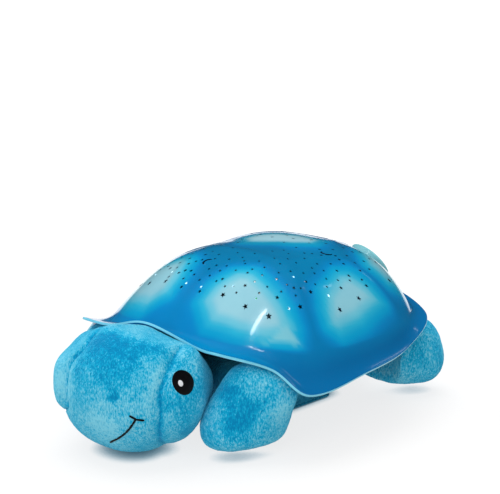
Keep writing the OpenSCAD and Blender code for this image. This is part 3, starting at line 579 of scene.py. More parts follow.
# holes whose walls catch the light from inside
litStars = [(-34, 0.76, 0.5), (-50, 0.70, 0.42), (-64, 0.62, 0.46), (-84, 0.68, 0.42), (-25, 0.50, 0.42),
            (-7, 0.69, 0.5)]
moonSeats = [(-100, 0.42), (150, 0.5), (30, 0.36)]
lampPoint = Vector((0, 22, 79.6)) * mm
pod = {"heading": 72, "place": 0.82, "radius": 17 * mm, "collarWall": 2.6 * mm,
       "collarTop": -0.5 * mm, "collarFoot": -6 * mm, "boreDepth": 30 * mm}
bosses = {"headings": (-48, -132, 4, 176, 52, 128), "inset": 9 * mm, "foot": 61 * mm, "height": 20 * mm,
          "radius": 3.6 * mm, "bore": 1.45 * mm, "depth": 12 * mm, "boreStart": 1 * mm, "bite": 0.4 * mm}
tray = {"halfWidth": 86 * mm, "front": 50 * mm, "back": 112 * mm, "squareness": 2.6}


def findPodFrame():
    # the pod's own X lies level, its Y runs down the slope and its Z stands out of the shell
    centre = smoothDome(pod["heading"], pod["place"])
    axis = (smoothDome(pod["heading"], pod["place"] + 0.01) - centre).cross(
        smoothDome(pod["heading"] + 1, pod["place"]) - centre).normalized()
    across = Vector((0, 0, -1)).cross(axis).normalized()
    turned = Matrix((across, axis.cross(across), axis)).transposed().to_4x4()
    return Matrix.Translation(centre) @ turned


podFrame = findPodFrame()


def alongRay(place):
    ray = (place - lampPoint).normalized()
    return Matrix.Translation(place) @ ray.to_track_quat("Z", "Y").to_matrix().to_4x4()


def starCutter(place, radius, turn):
    cutter = addCylinder(10, radius, starLook["depth"])
    for vertex in cutter.data.vertices:
        angle = math.degrees(math.atan2(vertex.co.y, vertex.co.x))
        if round((angle - 90) / 36) % 2:
            vertex.co.xy *= starLook["waist"]
    cutter.matrix_world = alongRay(place) @ Matrix.Rotation(math.radians(turn), 4, "Z")
    return cutter


def moonCutter(place):
    size = starLook["moonSize"]
    cutter = addCylinder(32, size, starLook["depth"])
    cutWith(cutter, addCylinder(32, size * starLook["moonBite"], starLook["depth"] * 1.2,
                                (size * starLook["moonShift"], 0, 0)))
    cutter.matrix_world = alongRay(place)
    return cutter


def starPlaces():
    # every star: its place, its radius and whether its wall is lit
    taken = [domePoint(a, t) for a, t in moonSeats] + [podFrame.translation]
    reach = [starLook["moonSize"] + starLook["gap"] / 2] * len(moonSeats) + [pod["radius"] + starLook["gap"]]
    stars = []

    def mirroredPlaces(rows):
        for a, t, share in rows:
            for heading in (a, 180 - a):
                yield domePoint(heading, t), share * starLook["large"]

    def clear(place, gap):
        return (all((place - q).length > max(gap, starLook["spread"] * r + starLook["margin"])
                    for q, r, lit in stars)
                and all((place - q).length > r for q, r in zip(taken, reach)))

    def spiral(first, last, count, turn):
        for i in range(count):
            t = mix(starLook[first], starLook[last], math.sqrt((i + 0.5) / count))
            yield i, domePoint(i * starLook["turn"] + turn, t)

    for place, radius in mirroredPlaces(sideStars):
        if (place - taken[-1]).length > reach[-1]:
            stars.append((place, radius, False))
    sides = [star[0] for star in stars]
    for place, radius in mirroredPlaces(litStars):
        if all((place - q).length > starLook["litSpread"] * (r + radius) + starLook["litMargin"]
               for q, r, lit in stars):
            stars.append((place, radius, True))
    crown = []
    for i, place in spiral("first", "last", starLook["count"], 0):
        if all((place - q).length > starLook["gap"] for q in sides) and clear(place, 0):
            growth = starLook["growth"] * (i / starLook["count"]) ** 2
            crown.append((place, mix(starLook["small"], starLook["large"], growth), False))
    stars += crown
    for i, place in spiral("fineFirst", "fineLast", starLook["fineCount"], starLook["fineTurn"]):
        if clear(place, starLook["fineGap"]):
            change = 1 + starLook["fineChange"] * math.sin(i * starLook["fineBeat"])
            stars.append((place, starLook["fineSize"] * change, False))
    return stars


# where the plastic is thin and pale: outlines by heading and place on the dome, and how pale
sidePanels = [
    ([(-80, 0.80), (-78, 0.64), (-67, 0.46), (-52, 0.44), (-41, 0.58), (-35, 0.73), (-32.5, 0.88),
      (-34, 0.985), (-46, 0.985), (-57, 0.965), (-71, 0.945)], 1.0),
    ([(-16, 0.79), (-10, 0.65), (2, 0.58), (14, 0.53), (22, 0.57), (25, 0.72), (24, 0.87),
      (4, 0.92), (-12, 0.95), (-17, 0.89)], 0.85),
    ([(38, 0.62), (50, 0.55), (64, 0.58), (68, 0.74), (62, 0.92), (45, 0.93), (37, 0.80)], 0.85),
]
crownPanel = [(-164, 0.09), (120, 0.02), (60, 0.08), (48, 0.15), (50, 0.26), (65, 0.34), (90, 0.33),
              (115, 0.28), (140, 0.24), (165, 0.2)]
# the corners of a painted reflection over each front panel: heading, place on the dome
paintedReflectionCorners = [(-46.6, 0.985), (-36, 0.86), (-31, 0.99)]
# the tint by how far inside an outline a point lies, in mm
tintSteps = [(-15, (0, 113, 174)), (-8, (0, 130, 190)), (-2.5, (0, 153, 197)), (2, (36, 169, 201)),
             (6, (98, 184, 204)), (12, (139, 192, 205))]
tintSteps = [(distance, Vector(colour(*tint))) for distance, tint in tintSteps]
bandTint = {"crown": (0, 119, 166), "deep": (0, 116, 169), "front": (0, 130, 190), "skirt": (0, 102, 157),
            "skirtFront": (0, 132, 186), "collar": (118, 182, 192), "crownPaleAndLit": (168, 218, 232),
            "paintedReflection": (116, 187, 202), "reflectionEdgeShade": (86, 178, 200)}
bandTint = {name: Vector(colour(*tint)) for name, tint in bandTint.items()}
# starts and widths of the blends: places on the dome, distances in mm, and headings
paint = {"front": -72, "frontSpread": 40, "deepFrom": (0.4, 0.3), "frontFrom": (0.5, 0.3), "lowest": 1.2,
         "panelFrom": (-15, 11), "panelDepth": 12, "crownGain": 1.6, "paintedReflectionDepth": 2.5, "reflectionEdgeShadeDepth": 5,
         "reflectionEdgeShadeShare": 0.6, "waistFrom": (0.97, 0.22), "waistShare": 0.25, "skirtFrom": (1.08, 0.45)}


def flatPlace(a, t):
    waist = waistPoint(a)
    return Vector((waist.x, waist.y - shell["middleY"])) * t


def flatOutline(outline, turned=False):
    return [flatPlace(180 - a if turned else a, t) for a, t in outline]


def outlineDistance(p, outline):
    # how far a flattened place lies inside an outline, in mm, negative outside
    inside, nearest = False, 1e9
    for i, b in enumerate(outline):
        a = outline[i - 1]
        run = b - a
        s = min(1, max(0, (p - a).dot(run) / run.length_squared))
        nearest = min(nearest, (p - a - run * s).length)
        if (a.y > p.y) != (b.y > p.y) and p.x < a.x + (p.y - a.y) * run.x / run.y:
            inside = not inside
    return (nearest if inside else -nearest) * 1000


def tintAt(distance):
    if distance <= tintSteps[0][0]:
        return tintSteps[0][1]
    for (d0, c0), (d1, c1) in zip(tintSteps, tintSteps[1:]):
        if distance <= d1:
            return c0.lerp(c1, ease(distance, d0, d1 - d0))
    return tintSteps[-1][1]


def panelOutlines():
    # each outline flattened, with how pale it is and how fast it gets there
    outlines = [(flatOutline(outline, turned), pale, 1) for outline, pale in sidePanels
                for turned in (False, True)]
    return outlines + [(flatOutline(crownPanel), 1.0, paint["crownGain"])]


def facing(heading, centre, spread):
    # how squarely a heading lies towards another, mirrored over the middle of the shell
    apart = min(abs((heading - a + 180) % 360 - 180) for a in (centre, 180 - centre))
    return smooth(1 - apart / spread)


def shellTint(heading, t, outlines):
    frontal = facing(heading, paint["front"], paint["frontSpread"])
    deep = bandTint["crown"].lerp(bandTint["deep"], ease(t, *paint["deepFrom"]))
    deep = deep.lerp(bandTint["front"], frontal * ease(t, *paint["frontFrom"]))
    place = flatPlace(heading, min(t, paint["lowest"]))
    tint = deep
    best = -1e9
    for outline, pale, gain in outlines:
        inside = outlineDistance(place, outline)
        if inside > best:
            best = inside
            reached = min(inside * (gain if inside > 0 else 1), paint["panelDepth"] * pale)
            tint = deep.lerp(tintAt(reached), ease(inside, *paint["panelFrom"]))
            # the crown patch goes paler still than the side patches: its own pale tint, with painted light on
            # the top of the dome
            if gain > 1:
                tint = tint.lerp(bandTint["crownPaleAndLit"], smooth(inside * gain / paint["panelDepth"]))
    # a painted reflection: a paler triangle across the lower corner of each front panel, with painted shade
    # along the outside of its edge
    paintedReflection = outlineDistance(place, flatOutline(paintedReflectionCorners, math.cos(math.radians(heading)) < 0))
    if -paint["reflectionEdgeShadeDepth"] < paintedReflection < 0 and best > 0:
        share = paint["reflectionEdgeShadeShare"] * (1 + paintedReflection / paint["reflectionEdgeShadeDepth"])
        tint = tint.lerp(bandTint["reflectionEdgeShade"], share)
    if paintedReflection > 0:
        tint = tint.lerp(bandTint["paintedReflection"], smooth(paintedReflection / paint["paintedReflectionDepth"]))
    skirt = bandTint["skirt"].lerp(bandTint["skirtFront"], frontal)
    tint = tint.lerp(skirt, ease(t, *paint["waistFrom"]) * paint["waistShare"])
    return tint.lerp(skirt, ease(t, *paint["skirtFrom"]))


def paintShell(piece, seats):
    # each point takes its tint from the three nearest seats
    outlines = panelOutlines()
    tints = [shellTint(a, t, outlines) for p, a, t in seats]
    near = KDTree(len(seats))
    for i, (place, a, t) in enumerate(seats):
        near.insert(place, i)
    near.balance()
    layer = piece.data.attributes.new("shellTint", "FLOAT_COLOR", "POINT")
    for vertex in piece.data.vertices:
        total, weight = Vector((0, 0, 0, 0)), 0
        for place, i, distance in near.find_n(vertex.co, 3):
            share = 1 / (distance + 0.3 * mm)
            total += tints[i] * share
            weight += share
        layer.data[vertex.index].color = total / weight


def shellMaterial():
    # glossy tinted plastic: the tint is painted on the points, and clouds a little
    material, tree = newMaterial("shellPlastic", {"IOR": 1.46, "Coat Weight": 0.5, "Coat Roughness": 0.03})
    tint = addNode(tree, "ShaderNodeAttribute", attribute_name="shellTint").outputs["Color"]
    place = objectPlace(tree)
    cloud = ramp(tree, noiseTexture(tree, place, 26, 3),
                 [(0.32, (0.90, 0.93, 0.96, 1)), (0.68, (1, 1, 1, 1))])
    finishMaterial(tree, mixColour(tree, 1.0, tint, cloud, "MULTIPLY"),
                   (noiseTexture(tree, place, 160, 2), 0.06, 0.13), noiseTexture(tree, place, 34, 2),
                   0.0001, 0.5)
    return material


def litHoleMaterial():
    # lamp light from inside caught on the wall of the hole, unevenly
    material, tree = newMaterial("litHoleWall", {"Base Color": colour(190, 225, 236), "Roughness": 0.4,
                                                 "Emission Strength": 0.7})
    glow = noiseTexture(tree, objectPlace(tree), 300, 2)
    feed(tree, "Emission Color",
         ramp(tree, glow, [(0.3, colour(170, 215, 232)), (0.7, colour(255, 255, 255))]))
    bump(tree, glow, 0.00003)
    return material


def bossPlace(a):
    reach = ovalReach(a, tray["halfWidth"], tray["front"], tray["back"], tray["squareness"])
    return alongHeading(a) * (reach - bosses["inset"]) + Vector((0, shell["middleY"], 0))


def shellBosses(inside):
    # a bored post per screw, whose top reaches just into the dome
    made = []
    for a in bosses["headings"]:
        x, y, z = bossPlace(a)
        post = addCylinder(48, bosses["radius"], bosses["height"],
                           (x, y, bosses["foot"] + bosses["height"] / 2))
        freeze(post)
        for vertex in post.data.vertices:
            if vertex.co.z > bosses["foot"] + mm:
                start = Vector((vertex.co.x, vertex.co.y, bosses["foot"]))
                vertex.co.z = inside.ray_cast(start, Vector((0, 0, 1)))[0].z + bosses["bite"]
        bore = addCylinder(24, bosses["bore"], bosses["depth"],
                           (x, y, bosses["foot"] + bosses["depth"] / 2 - bosses["boreStart"]))
        cutWith(post, bore)
        made.append(post)
    return made


def makeShell():
    skin, seats = buildShellSkin()
    plastic = shellMaterial()
    # painted shade: the walls of the star holes are near black, so the holes read dark
    shadedHoleWall = plasticMaterial("shadedStarHoleWall", colour(3, 34, 66), 0.45)
    litWall = litHoleMaterial()
    collarPlastic = plasticMaterial("collarPlastic", bandTint["collar"], 0.22)
    # painted light: the cut edge of the rim is pale, as if the thin plastic edge glows
    rim = plasticMaterial("shellRim", colour(112, 198, 222), 0.2, grain=500)
    dress(skin, plastic, rim, shadedHoleWall, litWall, collarPlastic)
    applyModifier(skin, "SOLIDIFY", thickness=shell["wall"], offset=-1, use_even_offset=True,
                  material_offset_rim=1)
    applyModifier(skin, "BEVEL", width=shell["edgeRound"], segments=2, limit_method="ANGLE",
                  angle_limit=math.radians(shell["edgeAngle"]), material=-1)
    print("shell skin", len(skin.data.vertices), "points")
    collar = addCylinder(96, pod["radius"], pod["collarTop"] - pod["collarFoot"],
                         (0, 0, (pod["collarTop"] + pod["collarFoot"]) / 2))
    bore = addCylinder(96, pod["radius"] - pod["collarWall"], pod["boreDepth"])
    for cutter, operation in ((collar, "UNION"), (bore, "DIFFERENCE")):
        cutter.matrix_world = podFrame @ cutter.matrix_world
        dress(cutter, collarPlastic)
        cutWith(skin, cutter, operation)
    cutters = []
    for i, (place, radius, lit) in enumerate(starPlaces()):
        cutters.append(starCutter(place, radius, i * starLook["spin"]))
        dress(cutters[-1], litWall if lit else shadedHoleWall)
    for a, t in moonSeats:
        cutters.append(moonCutter(domePoint(a, t)))
        dress(cutters[-1], shadedHoleWall)
    print("star holes", len(cutters))
    cutter = joinPieces(cutters, "starCutters")
    freeze(cutter)
    inside = surfaceOf(skin)
    cutWith(skin, cutter)
    print("shell cut,", len(skin.data.vertices), "points")
    posts = shellBosses(inside)
    for post in posts:
        dress(post, plastic)
    skin = joinPieces([skin] + posts, "starShell")
    freeze(skin)
    paintShell(skin, seats)
    shade(skin, shell["smoothAngle"])
    return handIn(skin, "root", "shell_plastic", "shell")


starShell = makeShell()
print("shell made,", len(starShell.data.vertices), "points")


plush = {"voxel": 3.6 * mm, "inset": 1.2 * mm, "pressure": 4, "quality": 5, "mass": 0.3, "frames": 20,
         "seamWidth": 1.5 * mm, "seamDepth": 1.4 * mm, "seamSink": 1.8 * mm, "seamHold": 3 * mm,
         "heldFrom": 0.5, "topShare": 0.8,
         "pile": 0.35 * mm, "lumps": ((140, 0.5), (420, 0.35), (1100, 0.3)),
         "creaseWidth": 1.1 * mm, "seamSideLight": 0.35, "seamSideLightAt": 5 * mm, "seamSideLightWidth": 3.5 * mm}


def smoothSurface(piece, steps=6):
    applyModifier(piece, "SMOOTH", factor=0.5, iterations=steps)


def normalsOf(piece):
    return [n.vector.copy() for n in piece.data.vertex_normals]


def inflate(piece, held, cap):
    # stuffing: the free cloth between the held points swells, and no point moves past the cap
    before = [v.co.copy() for v in piece.data.vertices]
    group = piece.vertex_groups.new(name="held")
    for index, weight in enumerate(held):
        if weight > 0:
            group.add([index], weight, "REPLACE")
    activate(piece)
    cloth = piece.modifiers.new("cloth", "CLOTH")
    settings = cloth.settings
    settings.quality = plush["quality"]
    settings.mass = plush["mass"]
    settings.use_pressure = True
    settings.uniform_pressure_force = plush["pressure"]
    settings.vertex_group_mass = "held"
    settings.effector_weights.gravity = 0
    cloth.collision_settings.use_collision = False
    cloth.point_cache.frame_end = plush["frames"]
    for number in range(1, plush["frames"] + 1):
        bpy.context.scene.frame_set(number)
    bpy.ops.object.modifier_apply(modifier=cloth.name)
    bpy.context.scene.frame_set(1)
    for vertex, start in zip(piece.data.vertices, before):
        step = vertex.co - start
        if step.length > cap:
            vertex.co = start + step * (cap / step.length)
    piece.vertex_groups.clear()
    piece.data.update()


def stuffed(node, name, cap, seam=None, held=lambda co: 0, reshape=None, seamDepth=plush["seamSink"],
            levels=2, inset=plush["inset"]):
    # a padded copy of a CAD solid: seams are given as a signed distance in metres
    piece = copyPiece(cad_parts[node], name, merged=True)
    applyModifier(piece, "REMESH", mode="VOXEL", voxel_size=plush["voxel"])
    smoothSurface(piece, 8)
    if reshape:
        moveVertices(piece, reshape)
        smoothSurface(piece, 2)
    weights = []
    for vertex, normal in zip(piece.data.vertices, normalsOf(piece)):
        near = bell(seam(vertex.co), plush["seamHold"]) if seam else 0
        weight = max(near, held(vertex.co))
        weights.append(weight if weight > plush["heldFrom"] else 0)
        vertex.co -= normal * (inset * (1 - plush["topShare"] * max(0, normal.z)) + near * seamDepth)
    piece.data.update()
    inflate(piece, weights, cap)
    smoothSurface(piece, 2)
    applyModifier(piece, "SUBSURF", levels=levels, render_levels=levels)
    normals = normalsOf(piece)
    # painted shade in each seam groove, less a band of painted light just beside it, kept on the points for
    # the pile's colour
    seamShadeLayer = piece.data.attributes.new("crease", "FLOAT", "POINT")
    for vertex, normal in zip(piece.data.vertices, normals):
        co = vertex.co
        lift = sum(noise.noise(co * scale) * share for scale, share in plush["lumps"])
        depth = 0
        if seam:
            depth = bell(seam(co), plush["seamWidth"]) * plush["seamDepth"]
            seamSideLight = plush["seamSideLight"] * bell(seam(co) + plush["seamSideLightAt"], plush["seamSideLightWidth"])
            seamShadeLayer.data[vertex.index].value = bell(seam(co), plush["creaseWidth"]) - seamSideLight
        vertex.co = co + normal * (lift * plush["pile"] - depth)
    piece.data.update()
    shade(piece)
    return piece


# patches of the pile painted lighter or darker, partly where the nap lies differently and partly painted
# light and painted shade: place and reach in mm, lift
brushed = [((18, -140, 28), 38, 0.16), ((-24, -140, 50), 30, 0.16), ((8, -126, 70), 34, -0.13),
           ((41, -99, 73), 8, 0.12), ((25, -141, 50.5), 6, -0.2), ((70, -78, 36), 20, -0.12),
           ((92, -55, 34), 18, 0.12), ((75, 108, 34), 22, -0.1)]


def plushMaterial(name, dark, middle, light, napAndShadePatches=()):
    # short brushed pile: broad patches where the nap lies differently, and fine combed hairs over them
    material, tree = newMaterial(name, {"Specular IOR Level": 0.1, "Sheen Weight": 1.0,
                                        "Sheen Roughness": 0.3, "Sheen Tint": colour(104, 210, 242)})
    place = objectPlace(tree)
    cloud = noiseTexture(tree, place, 34, 3, 0.5, 0.8)
    tuft = noiseTexture(tree, place, 420, 3, 0.6)
    hair = noiseTexture(tree, objectPlace(tree, (1400, 1000, 420), (0.3, 0.2, 0.5)), 1, 3, 0.7)
    nap = sums(tree, "MULTIPLY_ADD", tuft, 0.35, sums(tree, "MULTIPLY", cloud, 0.5))
    nap = sums(tree, "MULTIPLY_ADD", hair, 0.75, nap)
    ragged = sums(tree, "MULTIPLY_ADD", cloud, 0.03, -0.015)
    # painted light and painted shade, with some nap: each patch lifts or lowers the pile's tone around its
    # centre
    for centre, reach, lift in napAndShadePatches:
        away = addNode(tree, "ShaderNodeVectorMath", {0: place, 1: Vector(centre) * mm},
                       operation="DISTANCE").outputs["Value"]
        shift = addNode(tree, "ShaderNodeMapRange", {"Value": sums(tree, "ADD", away, ragged), "To Min": lift,
                                                     "From Max": reach * mm, "To Max": 0.0},
                        interpolation_type="SMOOTHSTEP").outputs["Result"]
        nap = sums(tree, "ADD", nap, shift)
    # darker along the seams and lighter just beside them: painted shade in the grooves and painted light on
    # the band
    crease = addNode(tree, "ShaderNodeAttribute", attribute_name="crease").outputs["Fac"]
    nap = sums(tree, "MULTIPLY_ADD", crease, -0.14, nap)
    base = ramp(tree, nap, [(0.64, colour(*dark)), (0.79, colour(*middle)), (0.98, colour(*light))], "LINEAR")
    feed(tree, "Base Color", base)
    feed(tree, "Roughness", sums(tree, "MULTIPLY_ADD", tuft, 0.25, 0.68))
    fine = bump(tree, sums(tree, "ADD", tuft, hair), 0.0009, 0.9)
    bump(tree, cloud, 0.0015, 0.6, fine)
    return material


turquoisePile = plushMaterial("turquoisePile", (0, 132, 184), (8, 170, 212), (128, 210, 232), brushed)
# the same pile painted darker for the belly and flap: painted shade under the shell
shadedBellyPile = plushMaterial("shadedBellyPile", (0, 84, 114), (0, 112, 148), (36, 144, 174))


def mirrored(piece, name):
    other = copyPiece(piece, name)
    moveVertices(other, lambda co: Vector((-co.x, co.y, co.z)))
    flipFaces(other)
    return other


def finishPlush(piece, node, fill, pile=turquoisePile, body="root"):
    dress(piece, pile)
    handIn(piece, body, "plush_blue", node)
    return piece


# shaping rules, in mm: a size, then the start and width of each fade
aside = Vector((0.735, 0.678, 0))
flipper = {"middle": Vector((66, -57, 0)) * mm, "sole": 5 * mm, "held": 2 * mm, "cap": 3.5 * mm, "fill": 0.7,
           "seamDepth": 1.8 * mm, "push": (6, (-4, 22), (66, -30)), "pull": (3, (-4, -18), (50, -20)),
           "lift": (4.5, (40, 18))}
leg = {"middle": Vector((57, 111, 0)) * mm, "sole": 6 * mm, "held": 3 * mm, "cap": 3.5 * mm, "fill": 0.7,
       "seamDepth": 0.5 * mm, "front": (-11, (-2, -18), (44, -30)), "low": (-7, (0, -14), (22, -14)),
       "outer": (2.5, (2, 16)), "lift": (10, (26, 22), (92, 26))}
tail = {"cap": 2.5 * mm, "fill": 0.6}
head = {"middle": Vector((0, -98, 46)) * mm, "farMiddle": Vector((0, -92, 46)) * mm, "inset": 0.8 * mm,
        "held": 2 * mm, "heldBehind": -57 * mm, "cap": 5 * mm, "fill": 0.8,
        "cheek": 14 * mm, "cheekBack": (-78, -14), "nearSwell": 3.4 * mm,
        "farSwell": 3.8, "farFade": (82, -26), "farDrop": 4.5 * mm, "dropFade": (56, 16),
        "chin": 2.4, "chinPlace": Vector((16, -130, 16)) * mm, "chinReach": 24 * mm, "chinFloor": 0.4 * mm,
        "lift": (1.8, (60, 14), (-132, 20)),
        "corner": (43 * mm, -82 * mm), "cornerLift": 2 * mm, "cornerReach": 11 * mm, "cornerFade": (46, 14),
        "seamPlane": (0.878, 0.413, -0.24), "seamLean": (23.6, 4.5, (56, -22)), "seamStep": (2.4, (-98, 9)),
        "farSeam": (18, 9, (60, 18), 26, (36, -18))}
body = {"cap": 3 * mm, "fill": 0.6, "tucks": ((14, (44, -16), (30, 25)), (8, (24, -12), (22, 14)))}


def shapeFlipper(co):
    # fuller towards the head, low down
    toHead = -(co - flipper["middle"]).dot(aside)
    push = swell(flipper["push"], toHead, co.z) + swell(flipper["pull"], toHead, co.z)
    return co - aside * push + Vector((0, 0, swell(flipper["lift"], co.z)))


def shapeLeg(co):
    # fuller in front, most of all low down, and higher behind
    across = (co - leg["middle"]).dot(aside)
    push = sum(swell(leg[part], across, co.z) for part in ("front", "low", "outer"))
    return co + aside * push + Vector((0, 0, swell(leg["lift"], co.z, co.y)))


def makeLimbs():
    limbs = []
    for limb, shape, node, name in ((flipper, shapeFlipper, "front_flipper", "FrontFlipper"),
                                    (leg, shapeLeg, "rear_leg", "RearLeg")):
        left = stuffed("left_" + node, "left" + name, limb["cap"], seam=lambda co: co.z - limb["sole"],
                       reshape=shape, seamDepth=limb["seamDepth"],
                       held=lambda co: 1 if co.z < limb["held"] else 0)
        limbs.append((left, limb, node, name))
    for left, limb, node, name in limbs:
        right = mirrored(left, "right" + name)
        finishPlush(left, "left_" + node, limb["fill"])
        finishPlush(right, "right_" + node, limb["fill"])
    finishPlush(stuffed("tail", "plushTail", tail["cap"]), "tail", tail["fill"])


def headSeam(co):
    # between the face and each side panel of the head; the right one is sewn nearer the nose
    lean, less, upward = head["seamLean"]
    x, y, z = head["seamPlane"]
    left = x * co.x + y * co.y + z * co.z + (lean - less * fade(co.z, *upward)) * mm
    step, backward = head["seamStep"]
    left += math.copysign(step * mm, left) * fade(co.y, *backward)
    reach, less, upward, more, downward = head["farSeam"]
    return max(left, -co.x - (reach - less * fade(co.z, *upward) + more * fade(co.z, *downward)) * mm)


def shapeHead(co):
    # cheeks that swell behind the seams, and a fuller chin
    side = smooth(headSeam(co) / head["cheek"]) * fade(co.y, *head["cheekBack"])
    cheek = Vector((head["nearSwell"], 0, 0)) * side
    if co.x < 0:
        cheek = (co - head["farMiddle"]).normalized() * head["farSwell"] * mm * side
        cheek *= fade(co.z, *head["farFade"])
        cheek.z = min(0, cheek.z) - head["farDrop"] * side * fade(co.z, *head["dropFade"])
    low = (Vector((abs(co.x), co.y, co.z)) - head["chinPlace"]).length
    chin = (co - head["middle"]).normalized() * head["chin"] * mm * bell(low, head["chinReach"])
    x, y = head["corner"]
    corner = bell(math.hypot(co.x - x, co.y - y), head["cornerReach"])
    lift = swell(head["lift"], co.z, co.y) + head["cornerLift"] * corner * fade(co.z, *head["cornerFade"])
    moved = co + cheek + chin + Vector((0, 0, lift))
    moved.z = max(moved.z, head["chinFloor"])
    return moved


def makeHead():
    made = stuffed("plush_head", "plushHead", head["cap"], seam=headSeam, reshape=shapeHead,
                   inset=head["inset"],
                   held=lambda co: 1 if co.z < head["held"] or co.y > head["heldBehind"] else 0)
    return finishPlush(made, "plush_head", head["fill"])


def shapeBody(co):
    # the belly tucks in under the shell
    tuck = sum(swell(rule, co.z, abs(co.x)) for rule in body["tucks"])
    return Vector((math.copysign(abs(co.x) - tuck, co.x), co.y, co.z))


def makeBody():
    made = stuffed("plush_body", "plushBody", body["cap"], reshape=shapeBody, levels=1)
    return finishPlush(made, "plush_body", body["fill"], shadedBellyPile)


flapLook = {"voxel": 0.9 * mm, "halfWidth": 27.5 * mm, "front": -16 * mm, "back": 69 * mm, "hem": 4 * mm,
            "seamDepth": 0.35 * mm, "seamWidth": 0.9 * mm, "inset": 0.1 * mm, "nap": 0.3, "fill": 0.2}


def makeFlap():
    # a lined flap, quilted flat, with a row of stitching inside its edge
    flap = copyPiece(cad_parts["belly_flap"], "bellyFlap", merged=True)
    applyModifier(flap, "REMESH", mode="VOXEL", voxel_size=flapLook["voxel"])
    smoothSurface(flap, 4)
    for vertex, normal in zip(flap.data.vertices, normalsOf(flap)):
        co = vertex.co
        inside = min(flapLook["halfWidth"] - abs(co.x), co.y - flapLook["front"], flapLook["back"] - co.y)
        crease = flapLook["seamDepth"] * bell(inside - flapLook["hem"], flapLook["seamWidth"])
        nap = plush["pile"] * flapLook["nap"] * noise.noise(co * 500)
        vertex.co = co - normal * (crease + flapLook["inset"] - nap)
    flap.data.update()
    shade(flap)
    finishPlush(flap, "belly_flap", flapLook["fill"], shadedBellyPile, "flap")


makeLimbs()
print("limbs made")
plushHead = makeHead()
makeBody()
makeFlap()
print("head and body made,", len(plushHead.data.vertices), "points in the head")


# the eye, its shine and the smile: places in mm, sizes in metres
stitch = {"eye": (47.9, -105.7, 57.4), "eyeTop": (46.0, -105.5, 64.1), "eyeSize": (7.0 * mm, 7.7 * mm),
          "eyeRise": 0.9 * mm, "eyeSink": 0.6 * mm, "shine": (46.7, -108.4, 57.6),
          "shineSize": (1.45 * mm, 1.95 * mm), "shineRise": 0.45 * mm, "shineSink": 0.3 * mm,
          "eyeCore": Vector((0, -98, 46.5)) * mm, "eyeLevel": (0.35, 0.25), "eyeFullness": 0.8,
          "threadRadius": 0.75 * mm, "stitchLength": 4.2 * mm, "stitchLap": 0.54, "stitchLift": 0.1,
          "core": Vector((0, -98, 42)) * mm, "start": 30 * mm, "sink": (1.7, (15, -4), (-15, 6))}
stitchLines = {
    "leftTick": [(32.7, -135.6, 38.9), (35.3, -132.7, 36.4), (38.6, -128.6, 35.4)],
    "rightTick": [(-30.5, -119, 17), (-33, -115, 14), (-36, -110, 13)],
    "mouthStitch": [(35.3, -132.7, 36.4), (31.5, -133.8, 30.4), (28.6, -134.5, 26.9), (25.1, -135.2, 23.7),
                    (21.0, -135.7, 20.7), (16.4, -135.8, 18.0), (11, -134.6, 14.6), (4, -131.5, 11),
                    (-4, -127, 8), (-16, -121, 7), (-26, -117, 9), (-33, -115, 14)],
}


def threadMaterial(name, tint, sheen):
    # satin stitch: fine parallel threads that catch the light
    material, tree = newMaterial(name, {"Sheen Weight": sheen, "Sheen Roughness": 0.35,
                                        "Specular IOR Level": 0.12})
    place = objectPlace(tree, rotation=(0.6, 0.3, 0))
    threads = addNode(tree, "ShaderNodeTexWave", {"Vector": place, "Scale": 520, "Distortion": 1.2,
                                                  "Detail": 2.0}, bands_direction="Z").outputs["Fac"]
    # the threads are darker in the grooves between them: painted shade along the relief
    finishMaterial(tree, ramp(tree, threads, [(0.2, shaded(tint, 0.7)), (0.8, tint)]),
                   (noiseTexture(tree, place, 700, 2), 0.25, 0.35), threads, 0.00022, 0.8)
    return material


blackThread = threadMaterial("blackThread", colour(6, 5, 8), 0.0)
whiteThread = threadMaterial("whiteThread", colour(236, 238, 242), 0.3)


def patchOn(surface, centre, up, size, rise, sink, name, material):
    # a domed oval patch that follows the surface under it
    halfWidth, halfHeight = size
    out = surface.find_nearest(centre)[0] - stitch["eyeCore"]
    back, level = stitch["eyeLevel"]
    out = Vector((out.x, out.y * back, out.z * level)).normalized()
    upward = (up - out * up.dot(out)).normalized()
    across = upward.cross(out)
    patch = addBall(64, 32)
    for vertex in patch.data.vertices:
        x, y, z = vertex.co
        away = math.hypot(x, y)
        spread = away ** stitch["eyeFullness"] / away if away > tiny else 1
        flat = across * (x * spread * halfWidth) + upward * (y * spread * halfHeight)
        hit = (surface.ray_cast(centre + flat + out * stitch["start"], -out)[0]
               or surface.find_nearest(centre + flat)[0])
        edge = max(0.0, 1 - away ** 2) ** 0.5
        vertex.co = hit + out * (rise * edge if z >= 0 else -sink * edge)
    patch.data.update()
    namePiece(patch, name)
    faceOut(patch)
    shade(patch)
    dress(patch, material)
    return patch


def roundPath(points, steps):
    # a smooth line through points
    made = []
    last = len(points) - 1
    for i in range(last):
        a, b = points[i], points[i + 1]
        before, after = points[max(0, i - 1)], points[min(last, i + 2)]
        made += [curveBetween(a, b, (b - before) / 2, (after - a) / 2, k / steps) for k in range(steps)]
    return made + [points[last]]


def hidden(p):
    # how deep the middle of the smile sinks into the pile
    return swell(stitch["sink"], p.x, p.x)


def oneStitch(a, b, out, sink):
    # a round-ended stitch from a to b
    radius = stitch["threadRadius"]
    way = b - a
    made = addBall(16, 12)
    turned = way.to_track_quat("Z", "Y").to_matrix().to_4x4()
    for vertex in made.data.vertices:
        x, y, z = vertex.co
        body = (1 - abs(z) ** 5) ** 0.5
        flat = math.hypot(x, y)
        x, y = (x / flat * body, y / flat * body) if flat > tiny else (0, 0)
        vertex.co = turned @ Vector((x * radius, y * radius, z * way.length * stitch["stitchLap"]))
        vertex.co += (a + b) / 2 + out * (radius * stitch["stitchLift"] - sink)
    made.data.update()
    return made


